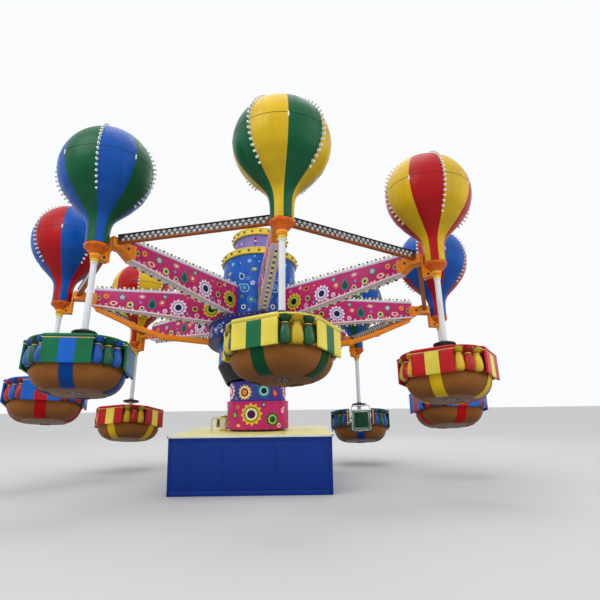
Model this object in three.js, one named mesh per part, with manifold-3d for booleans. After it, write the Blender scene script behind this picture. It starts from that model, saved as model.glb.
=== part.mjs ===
// Samba balloon ride: a fixed base and column carry a leaning head, on which a wheel of eight arms turns.
// Each arm's tip carries a balloon above and, below it, a gondola that spins on its pole.
// Millimetres, +Z up, origin at the middle of the base's underside, -Y towards the front.

import * as THREE from 'three';
import { mergeVertices } from 'three/addons/utils/BufferGeometryUtils.js';
import Module from 'manifold-3d';

const wasm = await Module();
wasm.setup();

// Driving dimensions of the base and the column
const BASE_WIDTH = 3130;
const BASE_DEPTH = 3770;
const HOUSING_TOP = 1055;
const DECK_TOP = 1100;
const DECK_LIP = 25;
const FOOT_RADIUS = 690;
const FOOT_PLINTH_RADIUS = 600;
const FOOT_PLINTH_TOP = 1137;
const FOOT_TOP = 1737;
const COLUMN_RADIUS = 630;
const COLUMN_TOP = 2170;

// Driving dimensions of the leaning head
const PIVOT_HEIGHT = 2300;
const LEAN = THREE.MathUtils.degToRad(10);
const TRUNNION_RADIUS = 60;
const HEAD_RADIUS = 905;
const KINGPIN_RADIUS = 200;

// Driving dimensions of the wheel, along the head's own axis from the pivot
const ARM_COUNT = 8;
const ARM_STEP = (2 * Math.PI) / ARM_COUNT;
const FIRST_ARM = THREE.MathUtils.degToRad(-81);
const WHEEL_PLANE = 690;
const POLE_CIRCLE = 4500;
const CROWN_BASE_RADIUS = 900;
const CROWN_DRUM_RADIUS = 1150;
const CROWN_DRUM_HEIGHT = 480;
const CROWN_NECK_RADIUS = 870;
const CROWN_BAND_RADIUS = 915;
const CROWN_CAP_RADIUS = 620;
const CROWN_RING_RADIUS = 680;

// Driving dimensions of an arm, as heights above the wheel plane and distances from the axis
const ARM_WIDTH = 210;
const BRACE_WIDTH = 110;
// Places of the two arms, one to each side of the ride, that carry a brace
const BRACED_ARMS = [2, 6];
const ARM_TOP = 1240;
const PANEL_END = 3800;
const TIP_INNER = 4000;
const TIP_OUTER = 4240;
const TIP_TOP = 1165;
const TIP_BOTTOM = 960;
const RING_BEAM_TOP = 1210;
const RING_BEAM_DEPTH = 170;
const RING_BEAM_WIDTH = 100;

// Driving dimensions of a hanger, a balloon and a gondola, along the pole from the wheel plane
const CUP_TOP = 890;
const CUP_RADIUS = 215;
const POLE_RADIUS = 55;
const HAND_WHEEL_HEIGHT = -750;
const HAND_WHEEL_RADIUS = 210;
const BALLOON_RADIUS = 878;
const BALLOON_NECK_RADIUS = 205;
const BALLOON_HEIGHT = 1522;
const GONDOLA_BOTTOM = -1756;
const GONDOLA_HEIGHT = 776;
const DOOR_HALF_WIDTH = 300;
const DOOR_SILL = 160;
const HINGE_X = 825;
const HINGE_Y = -282;

// Gaps between pieces that touch, and running gaps between pieces that turn
const SEAT = 0.3;
const SHAFT_GAP = 1.4;
const TURN_GAP = 5.5;

// Where each gondola's gate faces in plan, in degrees from the front towards the right
const GATE_BEARINGS = [152.5, 148, 190, -4.5, 180, 159.5, 197, 186];

const ROUND_SIDES = 32;

const COLOURS = {
  baseBlue: 0x12439b,
  deckYellow: 0xe2d56a,
  pink: 0xc02a78,
  violet: 0x3a3f9e,
  darkSteel: 0x22242a,
  crownBlue: 0x1f5fc0,
  ringYellow: 0xe3c640,
  purple: 0x7f74b8,
  orange: 0xe88c1e,
  bronze: 0x5f5346,
  white: 0xe9e9e6,
  red: 0xc8202c,
  blue: 0x1750b4,
  green: 0x14804e,
  yellow: 0xdcbe32,
  caramel: 0x96602a,
  chrome: 0xc9ccd0,
};

// The colour of each unit's balloon in turn: main colour of the balloon
const BALLOON_COLOURS = ['yellow', 'yellow', 'red', 'green', 'green', 'red', 'blue', 'green'];

function material(colour, roughness = 0.45, metalness = 0.1) {
  return new THREE.MeshStandardMaterial({ color: COLOURS[colour], roughness, metalness });
}

function piece(parent, name, geometry, colour, roughness, metalness) {
  const mesh = new THREE.Mesh(geometry, material(colour, roughness, metalness));
  mesh.name = name;
  parent.add(mesh);
  return mesh;
}

// A solid of revolution about +Z from an outline of [radius, height] points that closes on the axis or on itself
function turned(outline, sides = ROUND_SIDES) {
  const points = outline.map(([radius, height]) => new THREE.Vector2(radius, height));
  const geometry = new THREE.LatheGeometry(points, sides);
  geometry.rotateX(Math.PI / 2);
  geometry.rotateZ(Math.PI / 2);
  return geometry;
}

function drum(radius, low, high, sides = ROUND_SIDES) {
  return turned([[0, low], [radius, low], [radius, high], [0, high]], sides);
}

// A flat plate cut to an outline of [x, z] points and holes, standing in the XZ plane, centred on y
function plate(outline, width, holes = []) {
  const shape = new THREE.Shape(outline.map(([x, z]) => new THREE.Vector2(x, z)));
  for (const hole of holes) {
    shape.holes.push(new THREE.Path(hole.map(([x, z]) => new THREE.Vector2(x, z))));
  }
  const geometry = new THREE.ExtrudeGeometry(shape, { depth: width, bevelEnabled: false });
  geometry.rotateX(Math.PI / 2);
  geometry.translate(0, width / 2, 0);
  return geometry;
}

function block(low, high) {
  const size = high.map((value, axis) => value - low[axis]);
  const geometry = new THREE.BoxGeometry(...size);
  geometry.translate(...low.map((value, axis) => value + size[axis] / 2));
  return geometry;
}

function toSolid(geometry) {
  const bare = geometry.clone();
  bare.deleteAttribute('normal');
  bare.deleteAttribute('uv');
  const merged = mergeVertices(bare, 1e-3);
  return new wasm.Manifold(new wasm.Mesh({
    numProp: 3,
    vertProperties: new Float32Array(merged.attributes.position.array),
    triVerts: new Uint32Array(merged.index.array),
  }));
}

function toGeometry(solid) {
  const mesh = solid.getMesh();
  const geometry = new THREE.BufferGeometry();
  geometry.setAttribute('position', new THREE.BufferAttribute(new Float32Array(mesh.vertProperties), 3));
  geometry.setIndex(new THREE.BufferAttribute(new Uint32Array(mesh.triVerts), 1));
  geometry.computeVertexNormals();
  return geometry;
}

function joined(first, ...others) {
  return toGeometry(others.reduce((solid, other) => solid.add(toSolid(other)), toSolid(first)));
}

function cut(body, ...tools) {
  return toGeometry(tools.reduce((solid, tool) => solid.subtract(toSolid(tool)), toSolid(body)));
}

// A corner of a rounded outline, as points on an arc
function arc(centreX, centreZ, radius, from, to, steps = 4) {
  const points = [];
  for (let step = 0; step <= steps; step += 1) {
    const angle = THREE.MathUtils.degToRad(from + ((to - from) * step) / steps);
    points.push([centreX + radius * Math.cos(angle), centreZ + radius * Math.sin(angle)]);
  }
  return points;
}

// The box that houses the machinery, its deck, and the rail beside the column's foot
function addBase(parent) {
  const halfWidth = BASE_WIDTH / 2;
  const halfDepth = BASE_DEPTH / 2;
  const housing = block([-halfWidth, -halfDepth, 0], [halfWidth, halfDepth, HOUSING_TOP]);
  piece(parent, 'base_housing', housing, 'baseBlue', 0.5);

  const deck = block(
    [-halfWidth - DECK_LIP, -halfDepth - DECK_LIP, HOUSING_TOP + SEAT],
    [halfWidth + DECK_LIP, halfDepth + DECK_LIP, DECK_TOP],
  );
  piece(parent, 'base_deck', deck, 'deckYellow', 0.5);

  const railPost = 50;
  const railLeft = -1085;
  const railY = 120;
  const railTop = DECK_TOP + 300;
  const boxLeft = -860;
  const foot = DECK_TOP + SEAT;
  const rail = joined(
    block([railLeft, railY - railPost / 2, foot], [railLeft + railPost, railY + railPost / 2, railTop]),
    block([railLeft, railY - railPost / 2, railTop - railPost], [boxLeft + 20, railY + railPost / 2, railTop]),
    block([boxLeft, railY - 90, foot], [boxLeft + 150, railY + 90, railTop - 20]),
  );
  piece(parent, 'deck_rail', rail, 'deckYellow', 0.5);
}

// The fixed round foot and column, and the stand on top that the head leans on
function addColumn(parent) {
  const foot = turned([
    [0, DECK_TOP + SEAT],
    [FOOT_PLINTH_RADIUS, DECK_TOP + SEAT],
    [FOOT_PLINTH_RADIUS, FOOT_PLINTH_TOP],
    [FOOT_RADIUS, FOOT_PLINTH_TOP],
    [FOOT_RADIUS, FOOT_TOP],
    [0, FOOT_TOP],
  ]);
  piece(parent, 'foot_drum', foot, 'pink');
  piece(parent, 'column_drum', drum(COLUMN_RADIUS, FOOT_TOP + SEAT, COLUMN_TOP), 'violet');

  const plateRadius = 430;
  const plateTop = COLUMN_TOP + 30;
  const cheekInner = 250;
  const cheekThickness = 50;
  const cheekReach = 85;
  const boreRadius = TRUNNION_RADIUS + SHAFT_GAP / 2;
  const bore = new THREE.CylinderGeometry(boreRadius, boreRadius, 900, ROUND_SIDES);
  bore.rotateZ(Math.PI / 2);
  bore.translate(0, 0, PIVOT_HEIGHT);
  const cheeks = [-1, 1].map((side) => {
    const outline = [
      [-cheekReach - 100, plateTop - 5],
      [cheekReach + 100, plateTop - 5],
      ...arc(0, PIVOT_HEIGHT, cheekReach + 15, 0, 180, 8),
    ];
    const cheek = plate(outline, cheekThickness);
    cheek.rotateZ(Math.PI / 2);
    cheek.translate(side * (cheekInner + cheekThickness / 2), 0, 0);
    return cheek;
  });
  const stand = joined(drum(plateRadius, COLUMN_TOP + SEAT, plateTop), ...cheeks);
  piece(parent, 'pivot_stand', cut(stand, bore), 'darkSteel', 0.5, 0.6);
}

// The head: a block on its trunnion, a conical skirt, the flange and the kingpin that the wheel turns on
function addHead(head) {
  const flangeBottom = 165;
  const flangeTop = 195;
  const skirtBottom = -200;
  const skirtInner = 695;
  const skirtWall = 14;
  const kingpinTop = 610;
  const shell = turned([
    [0, flangeBottom],
    [HEAD_RADIUS - 26, flangeBottom],
    [skirtInner, skirtBottom],
    [skirtInner + skirtWall, skirtBottom],
    [HEAD_RADIUS, flangeBottom + 5],
    [HEAD_RADIUS, flangeTop],
    [KINGPIN_RADIUS, flangeTop],
    [KINGPIN_RADIUS, kingpinTop],
    [0, kingpinTop],
  ]);
  const trunnion = new THREE.CylinderGeometry(TRUNNION_RADIUS, TRUNNION_RADIUS, 620, ROUND_SIDES);
  trunnion.rotateZ(Math.PI / 2);
  const hubRadius = 88;
  const hub = plate([
    ...arc(0, 0, hubRadius, 180, 360, 8),
    [hubRadius + 60, flangeBottom + 5],
    [-hubRadius - 60, flangeBottom + 5],
  ], 460);
  hub.rotateZ(Math.PI / 2);
  piece(head, 'tilt_head', joined(shell, hub, trunnion), 'darkSteel', 0.6, 0.3);
}

// The wheel's middle: stacked drums and rings
function addCrown(wheel) {
  const baseBottom = 195 + TURN_GAP;
  const boreTop = 620;
  const bore = KINGPIN_RADIUS + SHAFT_GAP;
  const base = turned([
    [0, boreTop],
    [bore, boreTop],
    [bore, baseBottom],
    [CROWN_BASE_RADIUS, baseBottom],
    [CROWN_BASE_RADIUS, WHEEL_PLANE],
    [0, WHEEL_PLANE],
  ]);
  piece(wheel, 'crown_base', base, 'crownBlue');

  const drumTop = WHEEL_PLANE + CROWN_DRUM_HEIGHT;
  const neckTop = WHEEL_PLANE + 1990;
  const bandTop = WHEEL_PLANE + 2150;
  const capTop = WHEEL_PLANE + 2600;
  const ringTop = WHEEL_PLANE + 2775;
  piece(wheel, 'crown_drum', drum(CROWN_DRUM_RADIUS, WHEEL_PLANE + SEAT, drumTop), 'crownBlue');
  const neck = turned([
    [0, drumTop + SEAT],
    [CROWN_NECK_RADIUS, drumTop + SEAT],
    [CROWN_NECK_RADIUS, neckTop],
    [CROWN_BAND_RADIUS, neckTop],
    [CROWN_BAND_RADIUS, bandTop],
    [0, bandTop],
  ]);
  piece(wheel, 'crown_neck', neck, 'crownBlue');
  const cap = turned([
    [0, bandTop + SEAT],
    [CROWN_CAP_RADIUS, bandTop + SEAT],
    [CROWN_CAP_RADIUS, capTop],
    [CROWN_RING_RADIUS, capTop],
    [CROWN_RING_RADIUS, ringTop],
    [0, ringTop + 60],
  ]);
  piece(wheel, 'crown_cap', cap, 'purple');
}

// One arm: a panelled box beam with its end bracket and tip box, and on a braced arm the bent brace under it
function armGeometry(braced) {
  const bottomAt = (radius) => 515 + 0.11 * (radius - 1000);
  const beamStart = CROWN_NECK_RADIUS - 40;
  const bracketTop = 1130;
  const beam = plate([
    [beamStart, bottomAt(beamStart)],
    [PANEL_END, bottomAt(PANEL_END)],
    [TIP_INNER, TIP_BOTTOM],
    [TIP_OUTER, TIP_BOTTOM],
    [TIP_OUTER, TIP_TOP],
    [TIP_INNER, TIP_TOP],
    [TIP_INNER, bracketTop],
    [PANEL_END, bracketTop],
    [PANEL_END, ARM_TOP],
    [beamStart, ARM_TOP],
  ], ARM_WIDTH);

  const braceDepth = 110;
  const braceLine = [[CROWN_DRUM_RADIUS - 20, 15], [2200, 105], [2900, 355], [PANEL_END - 55, 735]];
  const brace = plate([
    ...braceLine,
    ...braceLine.map(([radius, height]) => [radius, height + braceDepth]).reverse(),
  ], BRACE_WIDTH);
  const neckRoot = drum(CROWN_NECK_RADIUS + SEAT, 0, 2 * ARM_TOP);
  const drumRoot = drum(CROWN_DRUM_RADIUS + SEAT, -ARM_TOP, CROWN_DRUM_HEIGHT);
  const geometry = braced ? cut(joined(beam, brace), neckRoot, drumRoot) : cut(beam, neckRoot);
  geometry.translate(0, 0, WHEEL_PLANE);
  return geometry;
}

// One beam of the outer ring, mitred against the tip boxes at its two ends
function ringBeamGeometry() {
  const half = ARM_STEP / 2;
  const seatRadius = (TIP_INNER + TIP_OUTER) / 2;
  const middle = seatRadius * Math.cos(half) + (ARM_WIDTH / 2) * Math.sin(half);
  const endAt = (radius) => (radius * Math.sin(half) - ARM_WIDTH / 2 - SEAT) / Math.cos(half);
  const inner = middle - RING_BEAM_WIDTH / 2;
  const outer = middle + RING_BEAM_WIDTH / 2;
  const shape = new THREE.Shape([
    new THREE.Vector2(inner, -endAt(inner)),
    new THREE.Vector2(outer, -endAt(outer)),
    new THREE.Vector2(outer, endAt(outer)),
    new THREE.Vector2(inner, endAt(inner)),
  ]);
  const geometry = new THREE.ExtrudeGeometry(shape, { depth: RING_BEAM_DEPTH, bevelEnabled: false });
  geometry.translate(0, 0, WHEEL_PLANE + RING_BEAM_TOP - RING_BEAM_DEPTH);
  return geometry;
}

// One hanger: the balloon's cup, the pole with its hand wheel and the disc that carries the gondola
function hangerGeometry() {
  const discTop = GONDOLA_BOTTOM + 24.5;
  const post = turned([
    [0, GONDOLA_BOTTOM],
    [110, GONDOLA_BOTTOM],
    [110, discTop],
    [POLE_RADIUS, discTop],
    [POLE_RADIUS, HAND_WHEEL_HEIGHT - 18],
    [HAND_WHEEL_RADIUS, HAND_WHEEL_HEIGHT - 18],
    [HAND_WHEEL_RADIUS, HAND_WHEEL_HEIGHT + 18],
    [POLE_RADIUS, HAND_WHEEL_HEIGHT + 18],
    [POLE_RADIUS, CUP_TOP - 335],
    [90, CUP_TOP - 185],
    [CUP_RADIUS, CUP_TOP - 25],
    [CUP_RADIUS, CUP_TOP - 0.5],
    [0, CUP_TOP - 0.5],
  ], 12);
  const reach = POLE_CIRCLE - TIP_OUTER - SEAT;
  const bracketLow = 630;
  const bracketHigh = 750;
  const upright = block([-reach, -70, bracketLow], [35 - reach, 70, TIP_TOP - 30]);
  return joined(post, upright, block([-reach, -70, bracketLow], [20, 70, bracketHigh]));
}

// One balloon: a ball that draws in to a slender neck, with a small fitting on top
function balloonGeometry() {
  const outline = [[0, -BALLOON_HEIGHT], [BALLOON_NECK_RADIUS, -BALLOON_HEIGHT]];
  outline.push([BALLOON_NECK_RADIUS, -1290], [225, -1085], [300, -955], [455, -800]);
  for (const latitude of [-46, -28, -8, 12, 32, 54, 74]) {
    const angle = THREE.MathUtils.degToRad(latitude);
    outline.push([BALLOON_RADIUS * Math.cos(angle), BALLOON_RADIUS * Math.sin(angle)]);
  }
  const fittingTop = BALLOON_RADIUS + 60;
  outline.push([50, BALLOON_RADIUS - 3], [40, fittingTop], [0, fittingTop]);
  const geometry = turned(outline, 20);
  geometry.translate(0, 0, CUP_TOP + BALLOON_HEIGHT);
  return geometry;
}

// Bearings of the gondola's plan within one quarter: across a banner's flat and round a corner's pouches
const QUARTER_BEARINGS = [-25.6, 25.6, 35, 45, 55];

function bearingOf(index) {
  const quarter = Math.floor(index / QUARTER_BEARINGS.length);
  const step = index % QUARTER_BEARINGS.length;
  return THREE.MathUtils.degToRad(quarter * 90 + QUARTER_BEARINGS[step]);
}

// Distance from the pole to a rounded square of a given half width, along a bearing
function squircle(half, bearing) {
  const power = 2.8;
  const sum = Math.abs(Math.cos(bearing)) ** power + Math.abs(Math.sin(bearing)) ** power;
  return half * sum ** (-1 / power);
}

// Distance from the pole to the band, flat at a banner and bulging at a corner
function bandDistance(flat, corner, bearing) {
  const turn = ((THREE.MathUtils.radToDeg(bearing) + 405) % 90) - 45;
  if (Math.abs(turn) < 26) {
    return flat / Math.cos(THREE.MathUtils.degToRad(turn));
  }
  const across = (Math.abs(turn) - 45) / 19;
  return corner * (1 - 0.03 * across * across);
}

// One gondola: a tub with a banner and pouch band, a bench round the inside, a footwell and a doorway
function gondolaGeometry() {
  const round = (radius) => () => radius;
  const square = (half) => (bearing) => squircle(half, bearing);
  const band = (flat, corner) => (bearing) => bandDistance(flat, corner, bearing);
  const top = GONDOLA_HEIGHT;
  const rings = [
    [62, 25, round(62)],
    [130, 25, round(130)],
    [130, 0, round(130)],
    [440, 0, square(440)],
    [600, 70, square(600)],
    [690, 190, square(685)],
    [725, 310, square(725)],
    [810, 308, band(805, 845)],
    [815, 420, band(815, 905)],
    [800, 700, band(800, 850)],
    [775, top, band(775, 800)],
    [700, top - 5, square(700)],
    [690, 400, square(690)],
    [400, 400, round(405)],
    [385, 60, round(385)],
    [62, 60, round(62)],
    [62, 25, round(62)],
  ];
  const sides = QUARTER_BEARINGS.length * 4;
  const geometry = turned(rings.map(([radius, height]) => [radius, height]), sides);
  const position = geometry.attributes.position;
  for (let index = 0; index < position.count; index += 1) {
    const side = Math.floor(index / rings.length) % sides;
    const distance = rings[index % rings.length][2];
    const bearing = bearingOf(side);
    position.setXY(index, distance(bearing) * Math.cos(bearing), distance(bearing) * Math.sin(bearing));
  }
  const doorway = plate([
    [-DOOR_HALF_WIDTH, top + 100],
    ...arc(-DOOR_HALF_WIDTH + 90, DOOR_SILL + 90, 90, 180, 270, 3),
    ...arc(DOOR_HALF_WIDTH - 90, DOOR_SILL + 90, 90, 270, 360, 3),
    [DOOR_HALF_WIDTH, top + 100],
  ], 800);
  doorway.rotateZ(-Math.PI / 2);
  doorway.translate(240 + 400, 0, 0);
  const lugs = [380, 681].map((low) => joined(
    block([785, -360, low], [839, HINGE_Y, low + 20]),
    drumAt(HINGE_X, HINGE_Y, 14, low, low + 20),
  ));
  return joined(cut(geometry, doorway), ...lugs);
}

function drumAt(x, y, radius, low, high) {
  const geometry = drum(radius, low, high, 12);
  geometry.translate(x, y, 0);
  return geometry;
}

// One gate: a bent frame with a panel in it and a hinge barrel at one side
function gateGeometry() {
  const bar = 34;
  const left = -245;
  const right = 285;
  const low = DOOR_SILL + 15;
  const high = GONDOLA_HEIGHT + 89;
  const corner = 85;
  const outline = (inset) => [
    [left + inset, high - inset],
    ...arc(left + corner, low + corner, corner - inset, 180, 270, 3),
    ...arc(right - corner, low + corner, corner - inset, 270, 360, 3),
    [right - inset, high - inset],
  ];
  const frame = plate(outline(0), bar, [outline(bar)]);
  const panelTop = GONDOLA_HEIGHT - 66;
  const panel = plate([
    [left + bar - 4, panelTop],
    ...arc(left + corner, low + corner, corner - bar + 4, 180, 270, 3),
    ...arc(right - corner, low + corner, corner - bar + 4, 270, 360, 3),
    [right - bar + 4, panelTop],
  ], 10);
  for (const flat of [frame, panel]) {
    flat.rotateZ(Math.PI / 2);
    flat.translate(794, 0, 0);
  }
  const web = block([800, HINGE_Y, 405], [815, left + 5, 676]);
  return joined(frame, panel, web, drumAt(HINGE_X, HINGE_Y, 12, 400.5, 680.5));
}

// One unit at an arm's tip, in a frame whose +X points away from the wheel's axis
function addUnit(wheel, index) {
  const name = index + 1;
  const bearing = FIRST_ARM + index * ARM_STEP;
  const armFrame = new THREE.Group();
  armFrame.rotation.z = bearing;
  wheel.add(armFrame);
  piece(armFrame, `arm_${name}`, armGeometry(BRACED_ARMS.includes(index)), 'pink');

  const beamFrame = new THREE.Group();
  beamFrame.rotation.z = bearing + ARM_STEP / 2;
  wheel.add(beamFrame);
  piece(beamFrame, `ring_beam_${name}`, ringBeamGeometry(), 'bronze', 0.5, 0.5);

  const poleFrame = new THREE.Group();
  poleFrame.position.set(POLE_CIRCLE, 0, WHEEL_PLANE);
  armFrame.add(poleFrame);
  piece(poleFrame, `hanger_${name}`, hangerGeometry(), 'white', 0.35, 0.5);
  piece(poleFrame, `balloon_${name}`, balloonGeometry(), BALLOON_COLOURS[index], 0.25);

  const gondolaFrame = new THREE.Group();
  const gateBearing = THREE.MathUtils.degToRad(GATE_BEARINGS[index] - 90);
  gondolaFrame.position.z = GONDOLA_BOTTOM;
  gondolaFrame.rotation.z = gateBearing - bearing;
  poleFrame.add(gondolaFrame);
  piece(gondolaFrame, `gondola_${name}`, gondolaGeometry(), 'caramel', 0.5);
  piece(gondolaFrame, `gate_${name}`, gateGeometry(), 'chrome', 0.25, 0.9);
}

const ride = new THREE.Group();
addBase(ride);
addColumn(ride);

const head = new THREE.Group();
head.position.z = PIVOT_HEIGHT;
head.rotation.x = -LEAN;
ride.add(head);
addHead(head);

const wheel = new THREE.Group();
head.add(wheel);
const crown = new THREE.Group();
crown.rotation.z = FIRST_ARM;
wheel.add(crown);
addCrown(crown);
for (let index = 0; index < ARM_COUNT; index += 1) {
  addUnit(wheel, index);
}

export default ride;
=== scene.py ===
"""Eight-arm balloon carousel ride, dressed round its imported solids."""

import math

import bmesh
import bpy
from mathutils import Matrix, Vector


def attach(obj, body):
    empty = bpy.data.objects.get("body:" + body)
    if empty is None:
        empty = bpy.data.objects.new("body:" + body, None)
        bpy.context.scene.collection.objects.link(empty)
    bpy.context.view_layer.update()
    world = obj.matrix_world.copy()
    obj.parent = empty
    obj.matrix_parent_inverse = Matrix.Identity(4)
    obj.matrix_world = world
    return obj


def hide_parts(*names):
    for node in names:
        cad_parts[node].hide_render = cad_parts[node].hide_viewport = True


bl_info = {
    "name": "Balloon Ride",
    "version": (1, 0, 0),
    "blender": (4, 5, 0),
    "location": "View3D > Sidebar > Balloon Ride",
    "description": "Builds the shapes and finishes of an eight-arm balloon ride",
    "category": "Object",
}

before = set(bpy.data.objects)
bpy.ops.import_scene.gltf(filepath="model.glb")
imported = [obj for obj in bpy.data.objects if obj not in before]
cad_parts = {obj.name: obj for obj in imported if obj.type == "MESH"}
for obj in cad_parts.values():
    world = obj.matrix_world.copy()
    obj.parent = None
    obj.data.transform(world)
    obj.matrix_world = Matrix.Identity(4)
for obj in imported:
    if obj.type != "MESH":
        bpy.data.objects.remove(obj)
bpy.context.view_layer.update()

ARMS = 8
ARM_STEP = math.tau / ARMS
FIRST_ARM = math.radians(-81)
LEAN = math.radians(-10)
PIVOT_HEIGHT = 2.3
WHEEL_PLANE = 0.69
POLE_CIRCLE = 4.5
BALLOON_CENTRE = 2.412
GONDOLA_BOTTOM = -1.756
GATE_BEARINGS = (152.5, 148, 190, -4.5, 180, 159.5, 197, 186)
BRACED_ARMS = (2, 6)
ORIGIN = Matrix.Identity(4)

# Gore colours clockwise and anticlockwise of each arm, and the two gondola colours.
GORES = (("green", "yellow"), ("red", "yellow"), ("blue", "red"), ("green", "blue")) * 2
GONDOLA_COLOURS = (("yellow", "green"), ("red", "yellow"), ("blue", "red"), ("green", "blue")) * 2
STRIPE_TONES = {"yellow": "lemon", "blue": "azure", "green": "leaf", "red": "scarlet"}


def shift(x=0.0, y=0.0, z=0.0):
    return Matrix.Translation((x, y, z))


def spin(axis, degrees):
    return Matrix.Rotation(math.radians(degrees), 4, axis)


def head_frame():
    return shift(z=PIVOT_HEIGHT) @ Matrix.Rotation(LEAN, 4, "X")


def wheel_frame():
    """The turning wheel, with its height zero in the plane of the arms."""
    return head_frame() @ shift(z=WHEEL_PLANE)


def arm_frame(index, offset=0.0):
    return wheel_frame() @ Matrix.Rotation(FIRST_ARM + (index + offset) * ARM_STEP, 4, "Z")


def pole_frame(index):
    return arm_frame(index) @ shift(POLE_CIRCLE)


def gondola_frame(index):
    bearing = FIRST_ARM + index * ARM_STEP
    centre = shift(POLE_CIRCLE * math.cos(bearing), POLE_CIRCLE * math.sin(bearing), GONDOLA_BOTTOM)
    return wheel_frame() @ centre @ spin("Z", GATE_BEARINGS[index] - 90)


# Settings


def linear(red, green, blue):
    """A display colour from 0 to 255 as scene-linear values."""
    values = (channel / 255 for channel in (red, green, blue))
    return tuple(v / 12.92 if v < 0.04045 else ((v + 0.055) / 1.055) ** 2.4 for v in values)


def colour_setting(name, description, red, green, blue):
    return bpy.props.FloatVectorProperty(
        name=name, description=description, subtype="COLOR", size=3, min=0, max=1,
        default=linear(red, green, blue),
    )


def length_setting(name, description, default):
    return bpy.props.FloatProperty(
        name=name, description=description, default=default, min=0.0, unit="LENGTH",
        subtype="DISTANCE", precision=4,
    )


class RideColours(bpy.types.PropertyGroup):
    """Paint and moulding colours of the ride."""

    red: colour_setting("Red", "Red gores, pouches and lamps", 176, 4, 14)
    yellow: colour_setting("Yellow", "Yellow gores, pouches and lamps", 214, 176, 20)
    green: colour_setting("Green", "Green gores and pouches", 0, 88, 50)
    blue: colour_setting("Blue", "Blue gores and pouches", 0, 80, 170)
    lemon: colour_setting("Lemon", "Yellow stripes and rims of the gondolas", 234, 216, 78)
    azure: colour_setting("Azure", "Blue stripes and rims of the gondolas", 14, 98, 200)
    leaf: colour_setting("Leaf", "Green stripes and rims of the gondolas", 6, 108, 66)
    scarlet: colour_setting("Scarlet", "Red stripes and rims of the gondolas", 190, 10, 24)
    caramel: colour_setting("Caramel", "Lower tub of each gondola", 142, 90, 44)
    orange: colour_setting("Orange", "Arm ends, braces and cups", 240, 138, 20)
    magenta: colour_setting("Magenta", "Arm side panels", 190, 36, 108)
    pink: colour_setting("Pink", "Foot drum", 200, 42, 112)
    lilac: colour_setting("Lilac", "Arm edging strips", 214, 204, 226)
    violet: colour_setting("Violet", "Column drum", 62, 62, 160)
    crown_blue: colour_setting("Crown blue", "Crown drums", 24, 90, 190)
    drum_blue: colour_setting("Drum blue", "Wide drum under the arms", 24, 44, 128)
    purple: colour_setting("Purple", "Crown cap", 132, 116, 190)
    band_yellow: colour_setting("Band yellow", "Lamp bands of the crown", 232, 204, 66)
    base_blue: colour_setting("Base blue", "Machinery housing", 2, 48, 138)
    deck_yellow: colour_setting("Deck yellow", "Deck plate and rail", 232, 222, 112)
    steel: colour_setting("Dark steel", "Skirt, stand and beam flanges", 42, 42, 48)
    beam_grey: colour_setting("Beam grey", "Web of the ring beams", 74, 66, 58)


class RideSizes(bpy.types.PropertyGroup):
    """Sizes of the fittings that dress the ride."""

    balloon_radius: length_setting("Balloon radius", "Radius of the round part", 0.867)
    bulb_radius: length_setting("Balloon bulb radius", "Radius of a bulb on a gore", 0.023)
    bulb_reach: length_setting("Balloon bulb reach", "How far a bulb stands out", 0.06)
    lamp_radius: length_setting("Arm lamp radius", "Radius of a cap lamp on an arm", 0.031)
    beam_lamp: length_setting("Beam lamp radius", "Radius of a ring beam lamp", 0.034)
    paint_step: length_setting("Paint step", "Rise of each layer of ornament", 0.0025)
    gate_tube: length_setting("Gate tube", "Radius of the gate frame tube", 0.017)


def sizes():
    return bpy.context.scene.ride_sizes


def colour(name):
    return tuple(getattr(bpy.context.scene.ride_colours, name))


# Finishes


class Field:
    """A node's output that can stand in a sum."""

    def __init__(self, paint, socket):
        self.paint = paint
        self.socket = socket

    def __add__(self, other):
        return self.paint.maths("ADD", self, other)

    def __sub__(self, other):
        return self.paint.maths("SUBTRACT", self, other)

    def __rsub__(self, other):
        return self.paint.maths("SUBTRACT", other, self)

    def __mul__(self, other):
        return self.paint.maths("MULTIPLY", self, other)

    __radd__ = __add__
    __rmul__ = __mul__


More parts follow.
